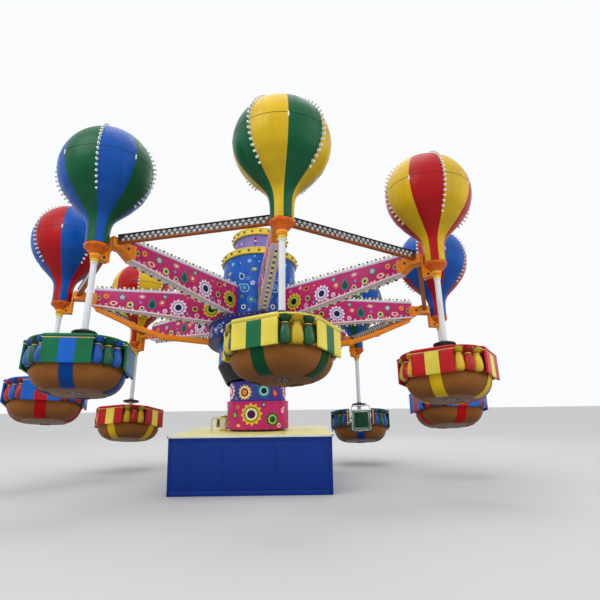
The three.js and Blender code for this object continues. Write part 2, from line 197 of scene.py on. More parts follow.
class Paint:
    """Builds one procedural material node by node."""

    def __init__(self, name):
        self.material = bpy.data.materials.new(name)
        self.material.use_nodes = True
        self.tree = self.material.node_tree
        self.tree.nodes.clear()
        self.place = self.node("ShaderNodeTexCoord", out="Object")

    def node(self, kind, settings=(), sockets=(), out=0):
        node = self.tree.nodes.new(kind)
        for key, value in dict(settings).items():
            if key == "stops":
                self.set_stops(node.color_ramp, value)
            else:
                setattr(node, key, value)
        for key, value in dict(sockets).items():
            if isinstance(value, Field):
                self.tree.links.new(value.socket, node.inputs[key])
            else:
                node.inputs[key].default_value = value
        return Field(self, node.outputs[out])

    @staticmethod
    def set_stops(ramp, stops):
        while len(ramp.elements) < len(stops):
            ramp.elements.new(0.5)
        for element, (position, level) in zip(ramp.elements, stops):
            element.position = position
            element.color = (level, level, level, 1)

    def maths(self, operation, first, second):
        return self.node("ShaderNodeMath", {"operation": operation}, {0: first, 1: second})

    def noise(self, scale, detail=3.0, roughness=0.5, stretch=None):
        place = self.place
        if stretch:
            place = self.node("ShaderNodeMapping", (), {"Vector": place, "Scale": stretch})
        return self.node("ShaderNodeTexNoise", (), {
            "Vector": place, "Scale": scale, "Detail": detail, "Roughness": roughness,
        })

    def ramp(self, value, *stops):
        return self.node("ShaderNodeValToRGB", {"stops": stops}, {"Fac": value})

    def blend(self, factor, first, second):
        """A mix of two colours, each of them a field or plain numbers."""
        full = [c if isinstance(c, Field) else (*c[:3], 1.0) for c in (first, second)]
        return self.node("ShaderNodeMix", {"data_type": "RGBA"}, {0: factor, 6: full[0], 7: full[1]}, out=2)

    def facing(self, side):
        """How much a face looks up (1) or down (-1), from 0 to 1."""
        normal = self.node("ShaderNodeNewGeometry", out="Normal")
        height = self.node("ShaderNodeSeparateXYZ", (), {"Vector": normal}, out="Z") * side
        return self.ramp(height, (0.3, 0.0), (0.95, 1.0))

    def bump(self, height, strength, distance):
        return self.node("ShaderNodeBump", (), {
            "Height": height, "Strength": strength, "Distance": distance,
        })

    def finish(self, **sockets):
        names = {key.replace("_", " ").title().replace("Ior", "IOR"): value for key, value in sockets.items()}
        shader = self.node("ShaderNodeBsdfPrincipled", (), names)
        output = self.tree.nodes.new("ShaderNodeOutputMaterial")
        self.tree.links.new(shader.socket, output.inputs["Surface"])
        return self.material


def shade(base, factor):
    return tuple(min(1.0, channel * factor) for channel in base)


def moulded(name, base, coat=0.12, mirror=0.16, underside_shade=0.42):
    """Moulded shell: gelcoat with faint ripple, rain streaks, settled dust and painted shade on its
    undersides.
    """
    paint = Paint(name)
    cloud = paint.noise(1.6, 3.0)
    streaks = paint.ramp(paint.noise(9.0, 4.0, 0.6, (1, 1, 0.12)), (0.42, 0.0), (0.8, 1.0))
    fine = paint.noise(34.0, 4.0, 0.62)
    tone = paint.blend(paint.ramp(cloud, (0.3, 0.0), (0.7, 1.0)), shade(base, 0.82), shade(base, 1.1))
    tone = paint.blend(streaks * 0.22, tone, shade(base, 0.5))
    dust = paint.facing(1) * paint.ramp(fine, (0.35, 0.15), (0.75, 1.0))
    tone = paint.blend(dust * 0.06, tone, linear(214, 206, 190))
    # Painted shade: faces looking down are darkened towards the underside shade.
    tone = paint.blend(paint.facing(-1) * 0.75, tone, shade(base, underside_shade))
    ripple = paint.noise(7.0, 2.0, 0.4) * 0.8 + paint.noise(90.0, 2.0) * 0.08
    return paint.finish(
        base_color=tone,
        roughness=0.3 + cloud * 0.12 + streaks * 0.12 + dust * 0.3,
        specular_ior_level=mirror,
        coat_weight=coat - streaks * coat * 0.6,
        coat_roughness=0.12,
        normal=paint.bump(ripple, 0.16, 0.006),
    )


def painted(name, base, gloss=0.36, wear=0.5):
    """Sprayed steel: orange peel, chips down to primer, a little run-off dirt and painted shade on its
    undersides.
    """
    paint = Paint(name)
    cloud = paint.noise(2.4, 4.0)
    patches = paint.noise(11.0, 6.0, 0.68)
    grit = paint.noise(70.0, 3.0, 0.6)
    chips = paint.ramp(patches * 0.75 + grit * 0.3, (0.655, 0.0), (0.675, 1.0))
    run_off = paint.ramp(paint.noise(13.0, 4.0, 0.6, (1, 1, 0.1)), (0.5, 0.0), (0.85, 1.0))
    tone = paint.blend(cloud, shade(base, 0.84), shade(base, 1.12))
    tone = paint.blend(run_off * 0.3, tone, shade(base, 0.42))
    tone = paint.blend(chips * wear, tone, linear(92, 70, 56))
    tone = paint.blend(paint.facing(1) * 0.06, tone, linear(200, 194, 180))
    # Painted shade: faces looking down are darkened to half their colour.
    tone = paint.blend(paint.facing(-1) * 0.5, tone, shade(base, 0.5))
    height = paint.noise(120.0, 2.0) * 0.35 - chips * 0.6
    return paint.finish(
        base_color=tone,
        roughness=gloss + patches * 0.14 + chips * 0.3,
        specular_ior_level=0.18,
        coat_weight=0.06 - chips * 0.06,
        coat_roughness=0.2,
        normal=paint.bump(height, 0.2, 0.0015),
    )


def signwork(name, base):
    """Ornament paint laid on by hand: even colour, soft gloss and faint brush ridges."""
    paint = Paint(name)
    brushed = paint.noise(26.0, 3.0, 0.55, (1, 1, 0.35))
    faded = paint.noise(3.1, 3.0)
    tone = paint.blend(faded, shade(base, 0.86), shade(base, 1.1))
    tone = paint.blend(paint.ramp(brushed, (0.55, 0.0), (0.9, 1.0)) * 0.3, tone, shade(base, 0.7))
    return paint.finish(
        base_color=tone,
        roughness=0.36 + brushed * 0.2,
        specular_ior_level=0.18,
        coat_weight=0.05,
        normal=paint.bump(brushed, 0.12, 0.001),
    )


def lens(name, base):
    """Moulded lamp cap: clear gloss over coloured plastic, a touch darker inside."""
    paint = Paint(name)
    depth = paint.noise(28.0, 2.0)
    tone = paint.blend(depth, shade(base, 0.78), shade(base, 1.15))
    return paint.finish(
        base_color=tone,
        roughness=0.12 + depth * 0.12,
        coat_weight=1.0,
        coat_roughness=0.04,
        normal=paint.bump(paint.noise(160.0, 1.0), 0.08, 0.0008),
    )


def bright_metal(name, tint, polish):
    """Polished tube with hand smudges and hairline scratches."""
    paint = Paint(name)
    smudge = paint.noise(12.0, 5.0, 0.66)
    hairline = paint.noise(40.0, 3.0, 0.6, (1, 1, 9))
    tone = paint.blend(smudge, shade(tint, 0.78), shade(tint, 1.12))
    return paint.finish(
        base_color=tone,
        metallic=1.0,
        roughness=polish + smudge * 0.18 + hairline * 0.06,
        normal=paint.bump(hairline, 0.08, 0.0006),
    )


def dark_plastic(name, base, rough=0.42):
    """Grained black moulding, a little paler where hands rub it."""
    paint = Paint(name)
    grain = paint.noise(180.0, 2.0)
    rub = paint.ramp(paint.noise(8.0, 4.0, 0.6), (0.48, 0.0), (0.75, 1.0))
    return paint.finish(
        base_color=paint.blend(rub * 0.5, base, shade(base, 2.2)),
        roughness=rough + rub * 0.16 - grain * 0.08,
        normal=paint.bump(grain, 0.22, 0.0008),
    )


def tread_plate(name, base):
    """Painted deck with a raised anti-slip pattern, scuffed and dusty."""
    paint = Paint(name)
    cells = paint.node("ShaderNodeTexVoronoi", (), {
        "Vector": paint.place, "Scale": 26.0, "Randomness": 0.25,
    }, out="Distance")
    studs = paint.ramp(cells, (0.14, 1.0), (0.3, 0.0))
    scuff = paint.ramp(paint.noise(3.2, 6.0, 0.65), (0.46, 0.0), (0.72, 1.0))
    fine = paint.noise(48.0, 4.0, 0.6)
    tone = paint.blend(scuff * 0.45, base, shade(base, 0.55))
    tone = paint.blend(studs * scuff * 0.5, tone, linear(170, 166, 150))
    tone = paint.blend(fine * 0.16, tone, linear(236, 230, 206))
    return paint.finish(
        base_color=tone,
        roughness=0.46 + scuff * 0.22,
        coat_weight=0.12,
        normal=paint.bump(studs + fine * 0.15, 0.35, 0.003),
    )


def pale_ground(name):
    """Plain pale studio floor."""
    paint = Paint(name)
    cloud = paint.noise(0.4, 3.0)
    return paint.finish(
        base_color=paint.blend(cloud, (0.56, 0.56, 0.55), (0.6, 0.6, 0.59)),
        roughness=0.85 + cloud * 0.05,
    )


# Display colours of the sign paints.
ORNAMENT_COLOURS = {
    "yellow": (238, 196, 40),
    "olive": (150, 150, 44),
    "cream": (240, 232, 190),
    "navy": (20, 26, 76),
    "white": (236, 232, 236),
    "lime": (176, 206, 60),
    "dark_green": (20, 84, 56),
    "teal": (24, 128, 128),
    "mint": (150, 220, 200),
    "cyan": (70, 176, 226),
    "sky": (150, 196, 240),
    "crimson": (188, 20, 52),
    "orange": (242, 132, 36),
    "pink": (240, 140, 180),
    "magenta": (176, 20, 100),
    "plum": (70, 24, 72),
    "black": (20, 20, 24),
    "lilac": (170, 150, 206),
}
# Maker and display colour of each fitting, then the maker's further numbers.
FITTINGS = {
    "lamp_yellow": (lens, (232, 226, 84)),
    "lamp_navy": (lens, (22, 26, 96)),
    "lamp_white": (lens, (232, 236, 236)),
    "lamp_grey": (lens, (182, 182, 184)),
    "lamp_green": (lens, (30, 96, 54)),
    "lamp_red": (lens, (170, 36, 36)),
    "lamp_rust": (lens, (150, 62, 34)),
    "socket_white": (painted, (228, 230, 230), 0.3, 0.2),
    "socket_dark": (dark_plastic, (52, 48, 46)),
    "pole_white": (painted, (226, 228, 232), 0.24, 0.35),
    "gold_trim": (moulded, (228, 196, 112)),
    "jamb_brown": (moulded, (110, 60, 26)),
    "black_plastic": (dark_plastic, (26, 26, 28)),
    # Dark joints and studs; the same dark also stands in for louvre openings and holes, as painted shade.
    "seam_dark": (dark_plastic, (34, 40, 44)),
    "floor_mat": (dark_plastic, (66, 62, 58), 0.6),
    "deck_trim": (painted, (232, 232, 214), 0.4, 0.7),
    "edge_white": (painted, (236, 216, 224), 0.34, 0.4),
    "beam_rust": (painted, (176, 92, 40), 0.45, 0.8),
    "cup_orange": (moulded, (222, 100, 18)),
}
# Clear coat, mirror and painted underside shade of each kind of moulding, where they aren't the usual ones.
MOULDINGS = {"shell": (), "gloss": (0.6,), "strap": (0.0, 0.08), "clay": (0.0, 0.05, 0.32), "cap": ()}
# How much a strap's colour is scaled: blue and green straps are darkened as painted shade under the band, red
# and yellow ones lifted a little.
STRAP_SHADE = {"blue": 0.66, "green": 0.66, "red": 1.05, "yellow": 1.05}
# How much darker the caps and the backing behind the pouches are: painted shade under the rim.
CAP_SHADE = 0.62
FINISHES = {}


def finish(name):
    """The material of that name, made the first time it is asked for."""
    if name not in FINISHES:
        FINISHES[name] = make_finish(name)
    return FINISHES[name]


def make_finish(name):
    """A name is one of the fittings, or a kind of surface and one of the ride's colours."""
    kind, _, tone = name.partition("_")
    if name in FITTINGS:
        maker, shown, *numbers = FITTINGS[name]
        return maker(name, linear(*shown), *numbers)
    if name == "chrome":
        return bright_metal(name, (0.72, 0.73, 0.75), 0.16)
    if name == "worn_steel":
        return bright_metal(name, (0.46, 0.46, 0.47), 0.3)
    if name == "deck_tread":
        return tread_plate(name, colour("deck_yellow"))
    if name == "ground":
        return pale_ground(name)
    if kind == "paint":
        return signwork(name, linear(*ORNAMENT_COLOURS[tone]))
    if kind == "coat":
        return painted(name, colour(tone))
    # Caps, the backing behind the pouches and blue and green straps get a darker tone here: painted shade
    # under the rim and the band; the gate's raised panel shares the caps' tone.
    tone = tone.removeprefix("deep_")
    factor = {"strap": STRAP_SHADE.get(tone), "cap": CAP_SHADE}.get(kind, 1.0)
    return moulded(name, shade(colour(tone), factor), *MOULDINGS[kind])


# Shapes


def turned(outline, steps=48, closed=False):
    """A round shape spun from (radius, height) points."""
    shape = bmesh.new()
    points = [shape.verts.new((radius, 0, height)) for radius, height in outline]
    pairs = list(zip(points, points[1:])) + ([(points[-1], points[0])] if closed else [])
    edges = [shape.edges.new(pair) for pair in pairs]
    bmesh.ops.spin(
        shape, geom=points + edges, cent=(0, 0, 0), axis=(0, 0, 1), angle=math.tau,
        steps=steps, use_merge=True, use_duplicate=False,
    )
    bmesh.ops.remove_doubles(shape, verts=shape.verts, dist=1e-5)
    bmesh.ops.recalc_face_normals(shape, faces=shape.faces)
    return shape


def soften(shape, width, segments=2, limit=30):
    """Rounds the edges that turn by more than the limit."""
    sharp = [
        edge for edge in shape.edges
        if len(edge.link_faces) == 2 and edge.calc_face_angle(0) > math.radians(limit)
    ]
    bmesh.ops.bevel(
        shape, geom=sharp, offset=width, offset_type="OFFSET", segments=segments,
        profile=0.5, affect="EDGES", clamp_overlap=True, material=-1,
    )
    return shape


def block(low, high, edge=0.006):
    """A box between two corners with rounded edges."""
    shape = bmesh.new()
    size = [top - bottom for bottom, top in zip(low, high)]
    centre = [(top + bottom) / 2 for bottom, top in zip(low, high)]
    bmesh.ops.create_cube(shape, size=1, matrix=shift(*centre) @ Matrix.Diagonal((*size, 1)))
    return soften(shape, edge) if edge else shape


def prism(outline, depth, edge=0.006, axis="Y"):
    """A flat outline pushed out evenly to both sides: (x, z) along Y, or (x, y) along Z."""
    shape = bmesh.new()
    half = Vector((0, depth / 2, 0)) if axis == "Y" else Vector((0, 0, depth / 2))
    corners = [Vector((a, 0, b)) if axis == "Y" else Vector((a, b, 0)) for a, b in outline]
    face = shape.faces.new([shape.verts.new(corner - half) for corner in corners])
    push_out(shape, [face], 2 * half)
    bmesh.ops.recalc_face_normals(shape, faces=shape.faces)
    return soften(shape, edge) if edge else shape


def push_out(shape, faces, reach):
    """Extrudes faces and moves the new ones by a vector."""
    grown = bmesh.ops.extrude_face_region(shape, geom=faces)["geom"]
    moved = [item for item in grown if isinstance(item, bmesh.types.BMVert)]
    bmesh.ops.translate(shape, verts=moved, vec=reach)


def arc(radius, first, last, step, height=0.0):
    """Points on a circle between two angles in degrees, without the last."""
    angles = [math.radians(degrees) for degrees in range(first, last, step)]
    return [(radius * math.cos(angle), height + radius * math.sin(angle)) for angle in angles]


def elbowed(points, radius, steps=5, closed=False):
    """A path whose corners are rounded, as bent tube is."""
    path = []
    last = len(points) - 1
    for index, point in enumerate(points):
        here = Vector(point)
        if not closed and index in (0, last):
            path.append(here)
            continue
        before = (Vector(points[index - 1]) - here).normalized() * radius
        after = (Vector(points[(index + 1) % len(points)]) - here).normalized() * radius
        for step in range(steps + 1):
            along = step / steps
            path.append(here + before * (1 - along) ** 2 + after * along ** 2)
    return path


def tube(path, radius, closed=False, resolution=2):
    """Round bar along a path."""
    curve = bpy.data.curves.new("bar", "CURVE")
    curve.dimensions = "3D"
    curve.bevel_depth = radius
    curve.bevel_resolution = resolution
    curve.use_fill_caps = not closed
    spline = curve.splines.new("POLY")
    spline.points.add(len(path) - 1)
    for point, place in zip(spline.points, path):
        point.co = (*place, 1)
    spline.use_cyclic_u = closed
    holder = bpy.data.objects.new("bar", curve)
    mesh = bpy.data.meshes.new_from_object(holder)
    bpy.data.objects.remove(holder)
    bpy.data.curves.remove(curve)
    shape = bmesh.new()
    shape.from_mesh(mesh)
    bpy.data.meshes.remove(mesh)
    bmesh.ops.remove_doubles(shape, verts=shape.verts, dist=1e-6)
    bmesh.ops.recalc_face_normals(shape, faces=shape.faces)
    return shape


def mesh_of(shape):
    mesh = bpy.data.meshes.new("part")
    shape.to_mesh(mesh)
    shape.free()
    return mesh


def rod(radius, low, high, chamfer, sides):
    """An upright round bar with its edges taken off."""
    inner = radius - chamfer
    return turned([
        (0, low), (inner, low), (radius, low + chamfer), (radius, high - chamfer), (inner, high), (0, high),
    ], sides)


def hex_bolt(washer, head, rise):
    """A bolt head on its washer, seated just under height zero."""
    return soften(turned([
        (0, -0.003), (washer, -0.003), (washer, 0.001), (head, 0.001), (head, rise), (0, rise),
    ], 6), 0.001, 1)


class Assembly:
    """Gathers shapes and their finishes into one mesh."""

    def __init__(self):
        self.shape = bmesh.new()
        self.finishes = []

    def slot_of(self, name):
        if name not in self.finishes:
            self.finishes.append(name)
        return self.finishes.index(name)

    def add(self, part, dress, place=ORIGIN):
        """dress is a finish name, a list of them, or a rule from a face's centre to one."""
        mesh = mesh_of(part) if isinstance(part, bmesh.types.BMesh) else part.copy()
        for polygon in mesh.polygons:
            if callable(dress):
                name = dress(polygon.center)
            elif isinstance(dress, str):
                name = dress
            else:
                name = dress[polygon.material_index]
            polygon.material_index = self.slot_of(name)
        mesh.transform(place)
        if place.determinant() < 0:
            mesh.flip_normals()
        self.shape.from_mesh(mesh)
        bpy.data.meshes.remove(mesh)

    def add_each(self, part, dress, places):
        """The same shape at every one of the places."""
        mesh = mesh_of(part)
        for place in places:
            self.add(mesh, dress, place)
        bpy.data.meshes.remove(mesh)

    def mesh(self):
        return mesh_of(self.shape), list(self.finishes)


def show(name, body, source, place, replaced, smooth=35):
    """Puts a finished mesh in its place, riding on a body and standing for its nodes."""
    mesh, finishes = source
    mesh = mesh.copy()
    mesh.name = name
    mesh.transform(place)
    for slot_index, finish_name in enumerate(finishes):
        if slot_index < len(mesh.materials):
            mesh.materials[slot_index] = finish(finish_name)
        else:
            mesh.materials.append(finish(finish_name))
    mesh.set_sharp_from_angle(angle=math.radians(smooth))
    for polygon in mesh.polygons:
        polygon.use_smooth = True
    piece = bpy.data.objects.new(name, mesh)
    bpy.context.scene.collection.objects.link(piece)
    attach(piece, body)
    if replaced:
        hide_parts(*replaced)


# Ornament


def gear_plate(radius, teeth, thickness):
    """A flat gear wheel, thick along Z."""
    shape = bmesh.new()
    bmesh.ops.create_circle(shape, cap_ends=True, segments=teeth * 4, radius=radius)
    for index, vert in enumerate(shape.verts):
        if index % 4 > 1:
            vert.co *= 0.83
    return thicken(shape, thickness)


def disc_plate(radius, thickness, stretch=(1, 1), sides=24, point=0.0):
    """A flat disc, ellipse or, with a point, a drop."""
    shape = bmesh.new()
    bmesh.ops.create_circle(shape, cap_ends=True, segments=sides, radius=radius)
    for vert in shape.verts:
        up = max(0.0, vert.co.y / radius)
        vert.co.x *= stretch[0] * (1 - point * up ** 1.5)
        vert.co.y *= stretch[1] * (1 + point * 0.6 * up)
    return thicken(shape, thickness)


def star_plate(radius, lobes, thickness):
    """A flat flower with rounded petals."""
    shape = bmesh.new()
    bmesh.ops.create_circle(shape, cap_ends=True, segments=lobes * 6, radius=radius)
    for index, vert in enumerate(shape.verts):
        vert.co *= 1 - 0.3 * abs(math.sin(math.pi * index / 6))
    return thicken(shape, thickness)


PAINT_SINK = 0.004


def thicken(shape, thickness):
    push_out(shape, list(shape.faces), (0, 0, thickness))
    bmesh.ops.translate(shape, verts=shape.verts, vec=(0, 0, -PAINT_SINK))
    bmesh.ops.recalc_face_normals(shape, faces=shape.faces)
    return shape


def badge(kind, radius, tones):
    """The layers of one painted ornament, from the widest up, as (shape, finish) pairs."""
    layers = []
    names = tones.split()
    for level, tone in enumerate(names):
        thickness = PAINT_SINK + sizes().paint_step * (level + 1)
        size = radius * (1 - level * 0.78 / len(names))
        if kind == "gear":
            plate = disc_plate(size * 0.9, thickness) if level else gear_plate(size, 12, thickness)
        elif kind == "flower":
            plate = disc_plate(size * 0.7, thickness) if level else star_plate(size, 8, thickness)
        elif kind == "eye":
            plate = disc_plate(size, thickness, (1.0, 0.62))
        elif kind == "drop":
            plate = disc_plate(size, thickness, (0.8, 1.0), point=0.8)
        elif kind == "diamond":
            plate = disc_plate(size, thickness, (0.75, 1.0), 4)
        elif kind == "triangle":
            plate = disc_plate(size, thickness, (0.9, 1.1), 3)
        else:
            plate = disc_plate(size, thickness)
        layers.append((plate, "paint_" + tone))
    return layers


def lay_on_drum(assembly, layers, drum_radius, bearing, height, turn=0.0, pitch=0.035):
    """Wraps an ornament round a drum. The bearing runs from the near side towards +X."""
    for shape, name in layers:
        bmesh.ops.rotate(shape, verts=shape.verts, cent=(0, 0, 0), matrix=Matrix.Rotation(turn, 3, "Z"))
        reach = max(abs(vert.co.x) for vert in shape.verts)
        for step in range(-int(reach / pitch), int(reach / pitch) + 1):
            bmesh.ops.bisect_plane(
                shape, geom=shape.verts[:] + shape.edges[:] + shape.faces[:],
                plane_co=(step * pitch + 1e-4, 0, 0), plane_no=(1, 0, 0),
            )
        for vert in shape.verts:
            angle = math.radians(bearing) + vert.co.x / drum_radius
            radius = drum_radius + vert.co.z
            vert.co = (radius * math.sin(angle), -radius * math.cos(angle), height + vert.co.y)
        assembly.add(shape, name)


def paint_drum(assembly, wall, around, rows):
    """Rows of kind, size, colours, bearing, height and, where they matter, turn and pitch."""
    for kind, size, tones, bearing, *rest in rows:
        lay_on_drum(assembly, badge(kind, size, tones), wall, bearing + around, *rest)


def lay_on_panel(assembly, layers, along, height, side, surface):
    """Lays an ornament flat on one face of an arm; side is -1 or 1."""
    turn = spin("Z", 180 if side > 0 else 0) @ spin("X", 90)
    for shape, name in layers:
        assembly.add(shape, name, shift(along, side * surface, height) @ turn)


def lamp(radius, reach, socket, cap):
    """A small screw lamp standing along +Z: a stepped socket and a domed cap."""
    sides = 10
    unit = Assembly()
    neck = radius * 0.72
    rise = reach - radius * 1.15
    unit.add(turned([
        (0, -0.004), (radius * 1.05, -0.004), (radius * 1.05, 0.004), (neck, 0.008), (neck, rise), (0, rise),
    ], sides), socket)
    unit.add(turned([
        (0, rise - 0.002), (radius * 0.8, rise - 0.002), (radius, rise + radius * 0.3),
        (radius * 0.94, rise + radius * 0.66), (radius * 0.66, rise + radius),
        (radius * 0.3, reach), (0, reach),
    ], sides), cap)
    return unit.mesh()


def bolt_ring(assembly, radius, height, count, size=0.014, down=False):
    """Hexagon bolt heads round a circle."""
    head = soften(turned([
        (0, -0.002), (size * 1.6, -0.002), (size * 1.6, 0.002), (size, 0.002), (size, size), (0, size),
    ], 6), size * 0.12, 1)
    flip = Matrix.Scale(-1, 4, (0, 0, 1)) if down else ORIGIN
    turns = [spin("Z", 360 * (index + 0.5) / count) for index in range(count)]
    assembly.add_each(head, "worn_steel", [turn @ shift(radius, 0, height) @ flip for turn in turns])


# Base


def face_block(side, axis, outer, depth, start, end, low, high, edge=0.006):
    """A bar set in from the outer face on side -1 or 1 of an axis, running along the other one."""
    near, far = sorted((side * outer, side * (outer - depth)))
    if axis == "X":
        return block((near, start, low), (far, end, high), edge)
    return block((start, near, low), (end, far, high), edge)


def build_housing():
    """Framed box with riveted sheets, louvres and a handle at the back."""
    half_x, half_y, top, post = 1.565, 1.885, 1.055, 0.05
    blue = "coat_base_blue"
    body = Assembly()
    body.add(block((0.012 - half_x, 0.012 - half_y, 0), (half_x - 0.012, half_y - 0.012, top), 0.01), blue)
    walls = (("X", half_x, half_y, 4, 0.915, 0.875), ("Y", half_y, half_x, 3, 1.0, 0.96))
    for side in (-1, 1):
        for other in (-1, 1):
            start, end = sorted((other * half_y, other * (half_y - post)))
            body.add(face_block(side, "X", half_x, post, start, end, 0.0, top), blue)
        for axis, outer, reach, sheets, pitch, width in walls:
            for low, high in ((0.0, 0.09), (top - 0.06, top)):
                body.add(face_block(side, axis, outer, 0.04, 0.02 - reach, reach - 0.02, low, high), blue)
            low, high, wall = 0.11, top - 0.08, outer - 0.004
            for column in range(sheets):
                start = 0.07 - reach + column * pitch
                body.add(face_block(side, axis, wall, 0.016, start, start + width, low, high, 0.005), blue)
                add_rivets(body, axis, side, wall, (start, start + width), (low, high))
    for left in (0.3 - half_x, 2.3 - half_x):
        for row in range(9):
            low = 0.4 + row * 0.045
            slat = block((left, half_y - 0.012, low), (left + 0.5, half_y - 0.001, low + 0.024), 0.004)
            body.add(slat, blue)
            start, end = left + 0.01, left + 0.49
            # A dark strip under each slat stands in for the louvre's opening: painted shade.
            gap = block((start, half_y - 0.006, low - 0.012), (end, half_y - 0.003, low + 0.001), 0)
            body.add(gap, "seam_dark")
    bends = ((0.006, 0.5), (0.001, 0.5), (0.001, 0.68), (0.006, 0.68))
    handle = elbowed([(0.1, half_y - inset, height) for inset, height in bends], 0.002, 3)
    body.add(tube(handle, 0.006), "worn_steel")
    return body.mesh()


def add_rivets(body, axis, side, wall, ends, heights):
    """Rivets round a sheet: seven along its top and foot, four more up each end."""
    margin = 0.025
    (start, end), (low, high) = ends, heights
    rows, columns = (low + 0.022, high - 0.022), (start + margin, end - margin)
    spots = [(columns[0] + (columns[1] - columns[0]) * k / 6, row) for k in range(7) for row in rows]
    spots += [(column, low + (high - low) * k / 5) for k in range(1, 5) for column in columns]
    if axis == "Y":
        places = [shift(along, side * wall, height) @ spin("X", -90 * side) for along, height in spots]
    else:
        places = [shift(side * wall, along, height) @ spin("Y", 90 * side) for along, height in spots]
    head = turned([(0.011, -0.004), (0.010, 0.0015), (0.006, 0.0035), (0, 0.004)], 8)
    body.add_each(head, "coat_base_blue", places)


def build_deck():
    half_x, half_y, low, top, rim = 1.59, 1.91, 1.0553, 1.1, 0.034
    deck = Assembly()
    plate = block((0.03 - half_x, 0.03 - half_y, low), (half_x - 0.03, half_y - 0.03, top - 0.002), 0.004)
    deck.add(plate, "deck_tread")
    for side in (-1, 1):
        deck.add(face_block(side, "X", half_x, rim, -half_y, half_y, low, top, 0.008), "deck_trim")
        deck.add(face_block(side, "Y", half_y, rim, -half_x, half_x, low, top, 0.008), "deck_trim")
        seam, end = side * 0.62, half_y - rim
        joint = block((seam - 0.003, -end, top - 0.004), (seam + 0.003, end, top - 0.0012), 0)
        deck.add(joint, "seam_dark")
    return deck.mesh()


def build_rail():
    """Bent tube rail with its foot, and the box with a door and a latch beside it."""
    left, middle, top, low = -1.06, 0.12, 1.375, 1.1003
    rail = Assembly()
    path = elbowed([(left, middle, low + 0.005), (left, middle, top), (-0.84, middle, top)], 0.07)
    rail.add(tube(path, 0.025, resolution=4), "deck_trim")
    foot = turned([(0, low), (0.06, low), (0.06, 1.108), (0.03, 1.112), (0, 1.112)], 20)
    rail.add(foot, "deck_trim", shift(left, middle))
    rail.add(block((-0.86, 0.03, low), (-0.71, 0.21, 1.38), 0.012), "coat_deck_yellow")
    rail.add(block((-0.845, 0.026, 1.13), (-0.725, 0.034, 1.35), 0.003), "deck_trim")
    rail.add(block((-0.752, 0.02, 1.22), (-0.734, 0.028, 1.27), 0.002), "worn_steel")
    return rail.mesh()


# Column


def rolled(radius, low, high, chamfer=0.012, rise=0.012, band=0.03, step=0.036, inset=0.006):
    """Outline of a drum's wall from its foot up, with a raised hoop at each end."""
    wall = radius - inset
    return [
        (radius - chamfer, low), (radius, low + rise), (radius, low + band), (wall, low + step),
        (wall, high - step), (radius, high - band), (radius, high - rise), (radius - chamfer, high),
    ]


FOOT_ORNAMENT = (
    ("gear", 0.235, "yellow olive cream plum", -7.3, 1.462),
    ("gear", 0.155, "dark_green lime dark_green", 31.8, 1.35),
    ("drop", 0.075, "dark_green lime", -41, 1.44, 0.5),
    ("drop", 0.09, "crimson white pink", 56.6, 1.54, -0.6),
    ("disc", 0.045, "crimson orange", -60, 1.3),
    ("eye", 0.06, "orange cream", -33, 1.23),
    ("disc", 0.04, "navy mint", 15, 1.66),
    ("disc", 0.035, "yellow crimson", -35, 1.62),
)

COLUMN_ORNAMENT = (
    ("gear", 0.19, "white pink magenta cream", -66.8, 1.955),
    ("gear", 0.165, "yellow cream black orange", -22.8, 1.925),
    ("gear", 0.15, "teal mint navy", 16.5, 1.955),
    ("drop", 0.085, "crimson orange", 41, 1.9, 0.4),
    ("disc", 0.04, "cyan white", 3, 2.1),
    ("disc", 0.035, "lime navy", -44, 1.8),
    ("flower", 0.055, "yellow crimson", 62, 2.04),
)


def build_foot_drum():
    foot = Assembly()
    radius, plinth, deck, low, high = 0.69, 0.60, 1.1003, 1.137, 1.737
    wall = rolled(radius, low, high, 0.012, 0.01, 0.035, 0.04)
    foot.add(
        turned([(0, deck), (plinth, deck), (plinth, low), *wall, (0, high)], 96),
        lambda centre: "coat_steel" if centre.z < low - 0.005 else "shell_pink",
    )
    for repeat, turn in enumerate((0, 128, 232)):
        paint_drum(foot, radius - 0.006, turn, FOOT_ORNAMENT)
        paint_drum(foot, radius - 0.006, turn + repeat, [("flower", 0.06, "white crimson", 46, 1.22)])
    bolt_ring(foot, 0.65, 1.136, 24, 0.011, down=True)
    return foot.mesh()


def build_column_drum():
    column = Assembly()
    radius, low, high, inset = 0.63, 1.7373, 2.17, 0.005
    wall = rolled(radius, low, high, 0.01, 0.008, 0.03, 0.034, inset)
    column.add(turned([(0, low), *wall, (0, high)], 96), "shell_violet")
    for turn in (0, 150):
        paint_drum(column, radius - inset, turn, COLUMN_ORNAMENT)
    paint_drum(column, radius - inset, 0, [("gear", 0.16, "orange cream teal", 206, 1.95)])
    return column.mesh()


def build_stand():
    """Bed plate and the two ribbed cheeks that carry the head's trunnion."""
    stand = Assembly()
    low, top = 2.1703, 2.2
    stand.add(turned([(0, low), (0.43, low), (0.43, top - 0.006), (0.424, top), (0, top)], 64), "coat_steel")
    bolt_ring(stand, 0.39, top - 0.001, 16, 0.015)
    cheek = [(-0.185, top - 0.004), (0.185, top - 0.004), *arc(0.1, 0, 181, 12, PIVOT_HEIGHT)]
    bush = [(0.063, -0.004), (0.088, -0.004), (0.088, 0.006), (0.082, 0.009), (0.063, 0.009)]
    for side in (-1, 1):
        stand.add(prism(cheek, 0.05), "coat_steel", shift(side * 0.275) @ spin("Z", 90))
        outwards = shift(side * 0.3, 0, PIVOT_HEIGHT) @ spin("Y", 90 * side)
        stand.add(turned(bush, 32, True), "worn_steel", outwards)
        inner, outer = side * 0.296, side * 0.37
        rib = prism([(inner, top), (outer, top), (outer, top + 0.012), (inner, top + 0.085)], 0.012, 0.002)
        stand.add_each(rib, "coat_steel", [shift(y=-0.12), shift(y=0.12)])
    return stand.mesh()


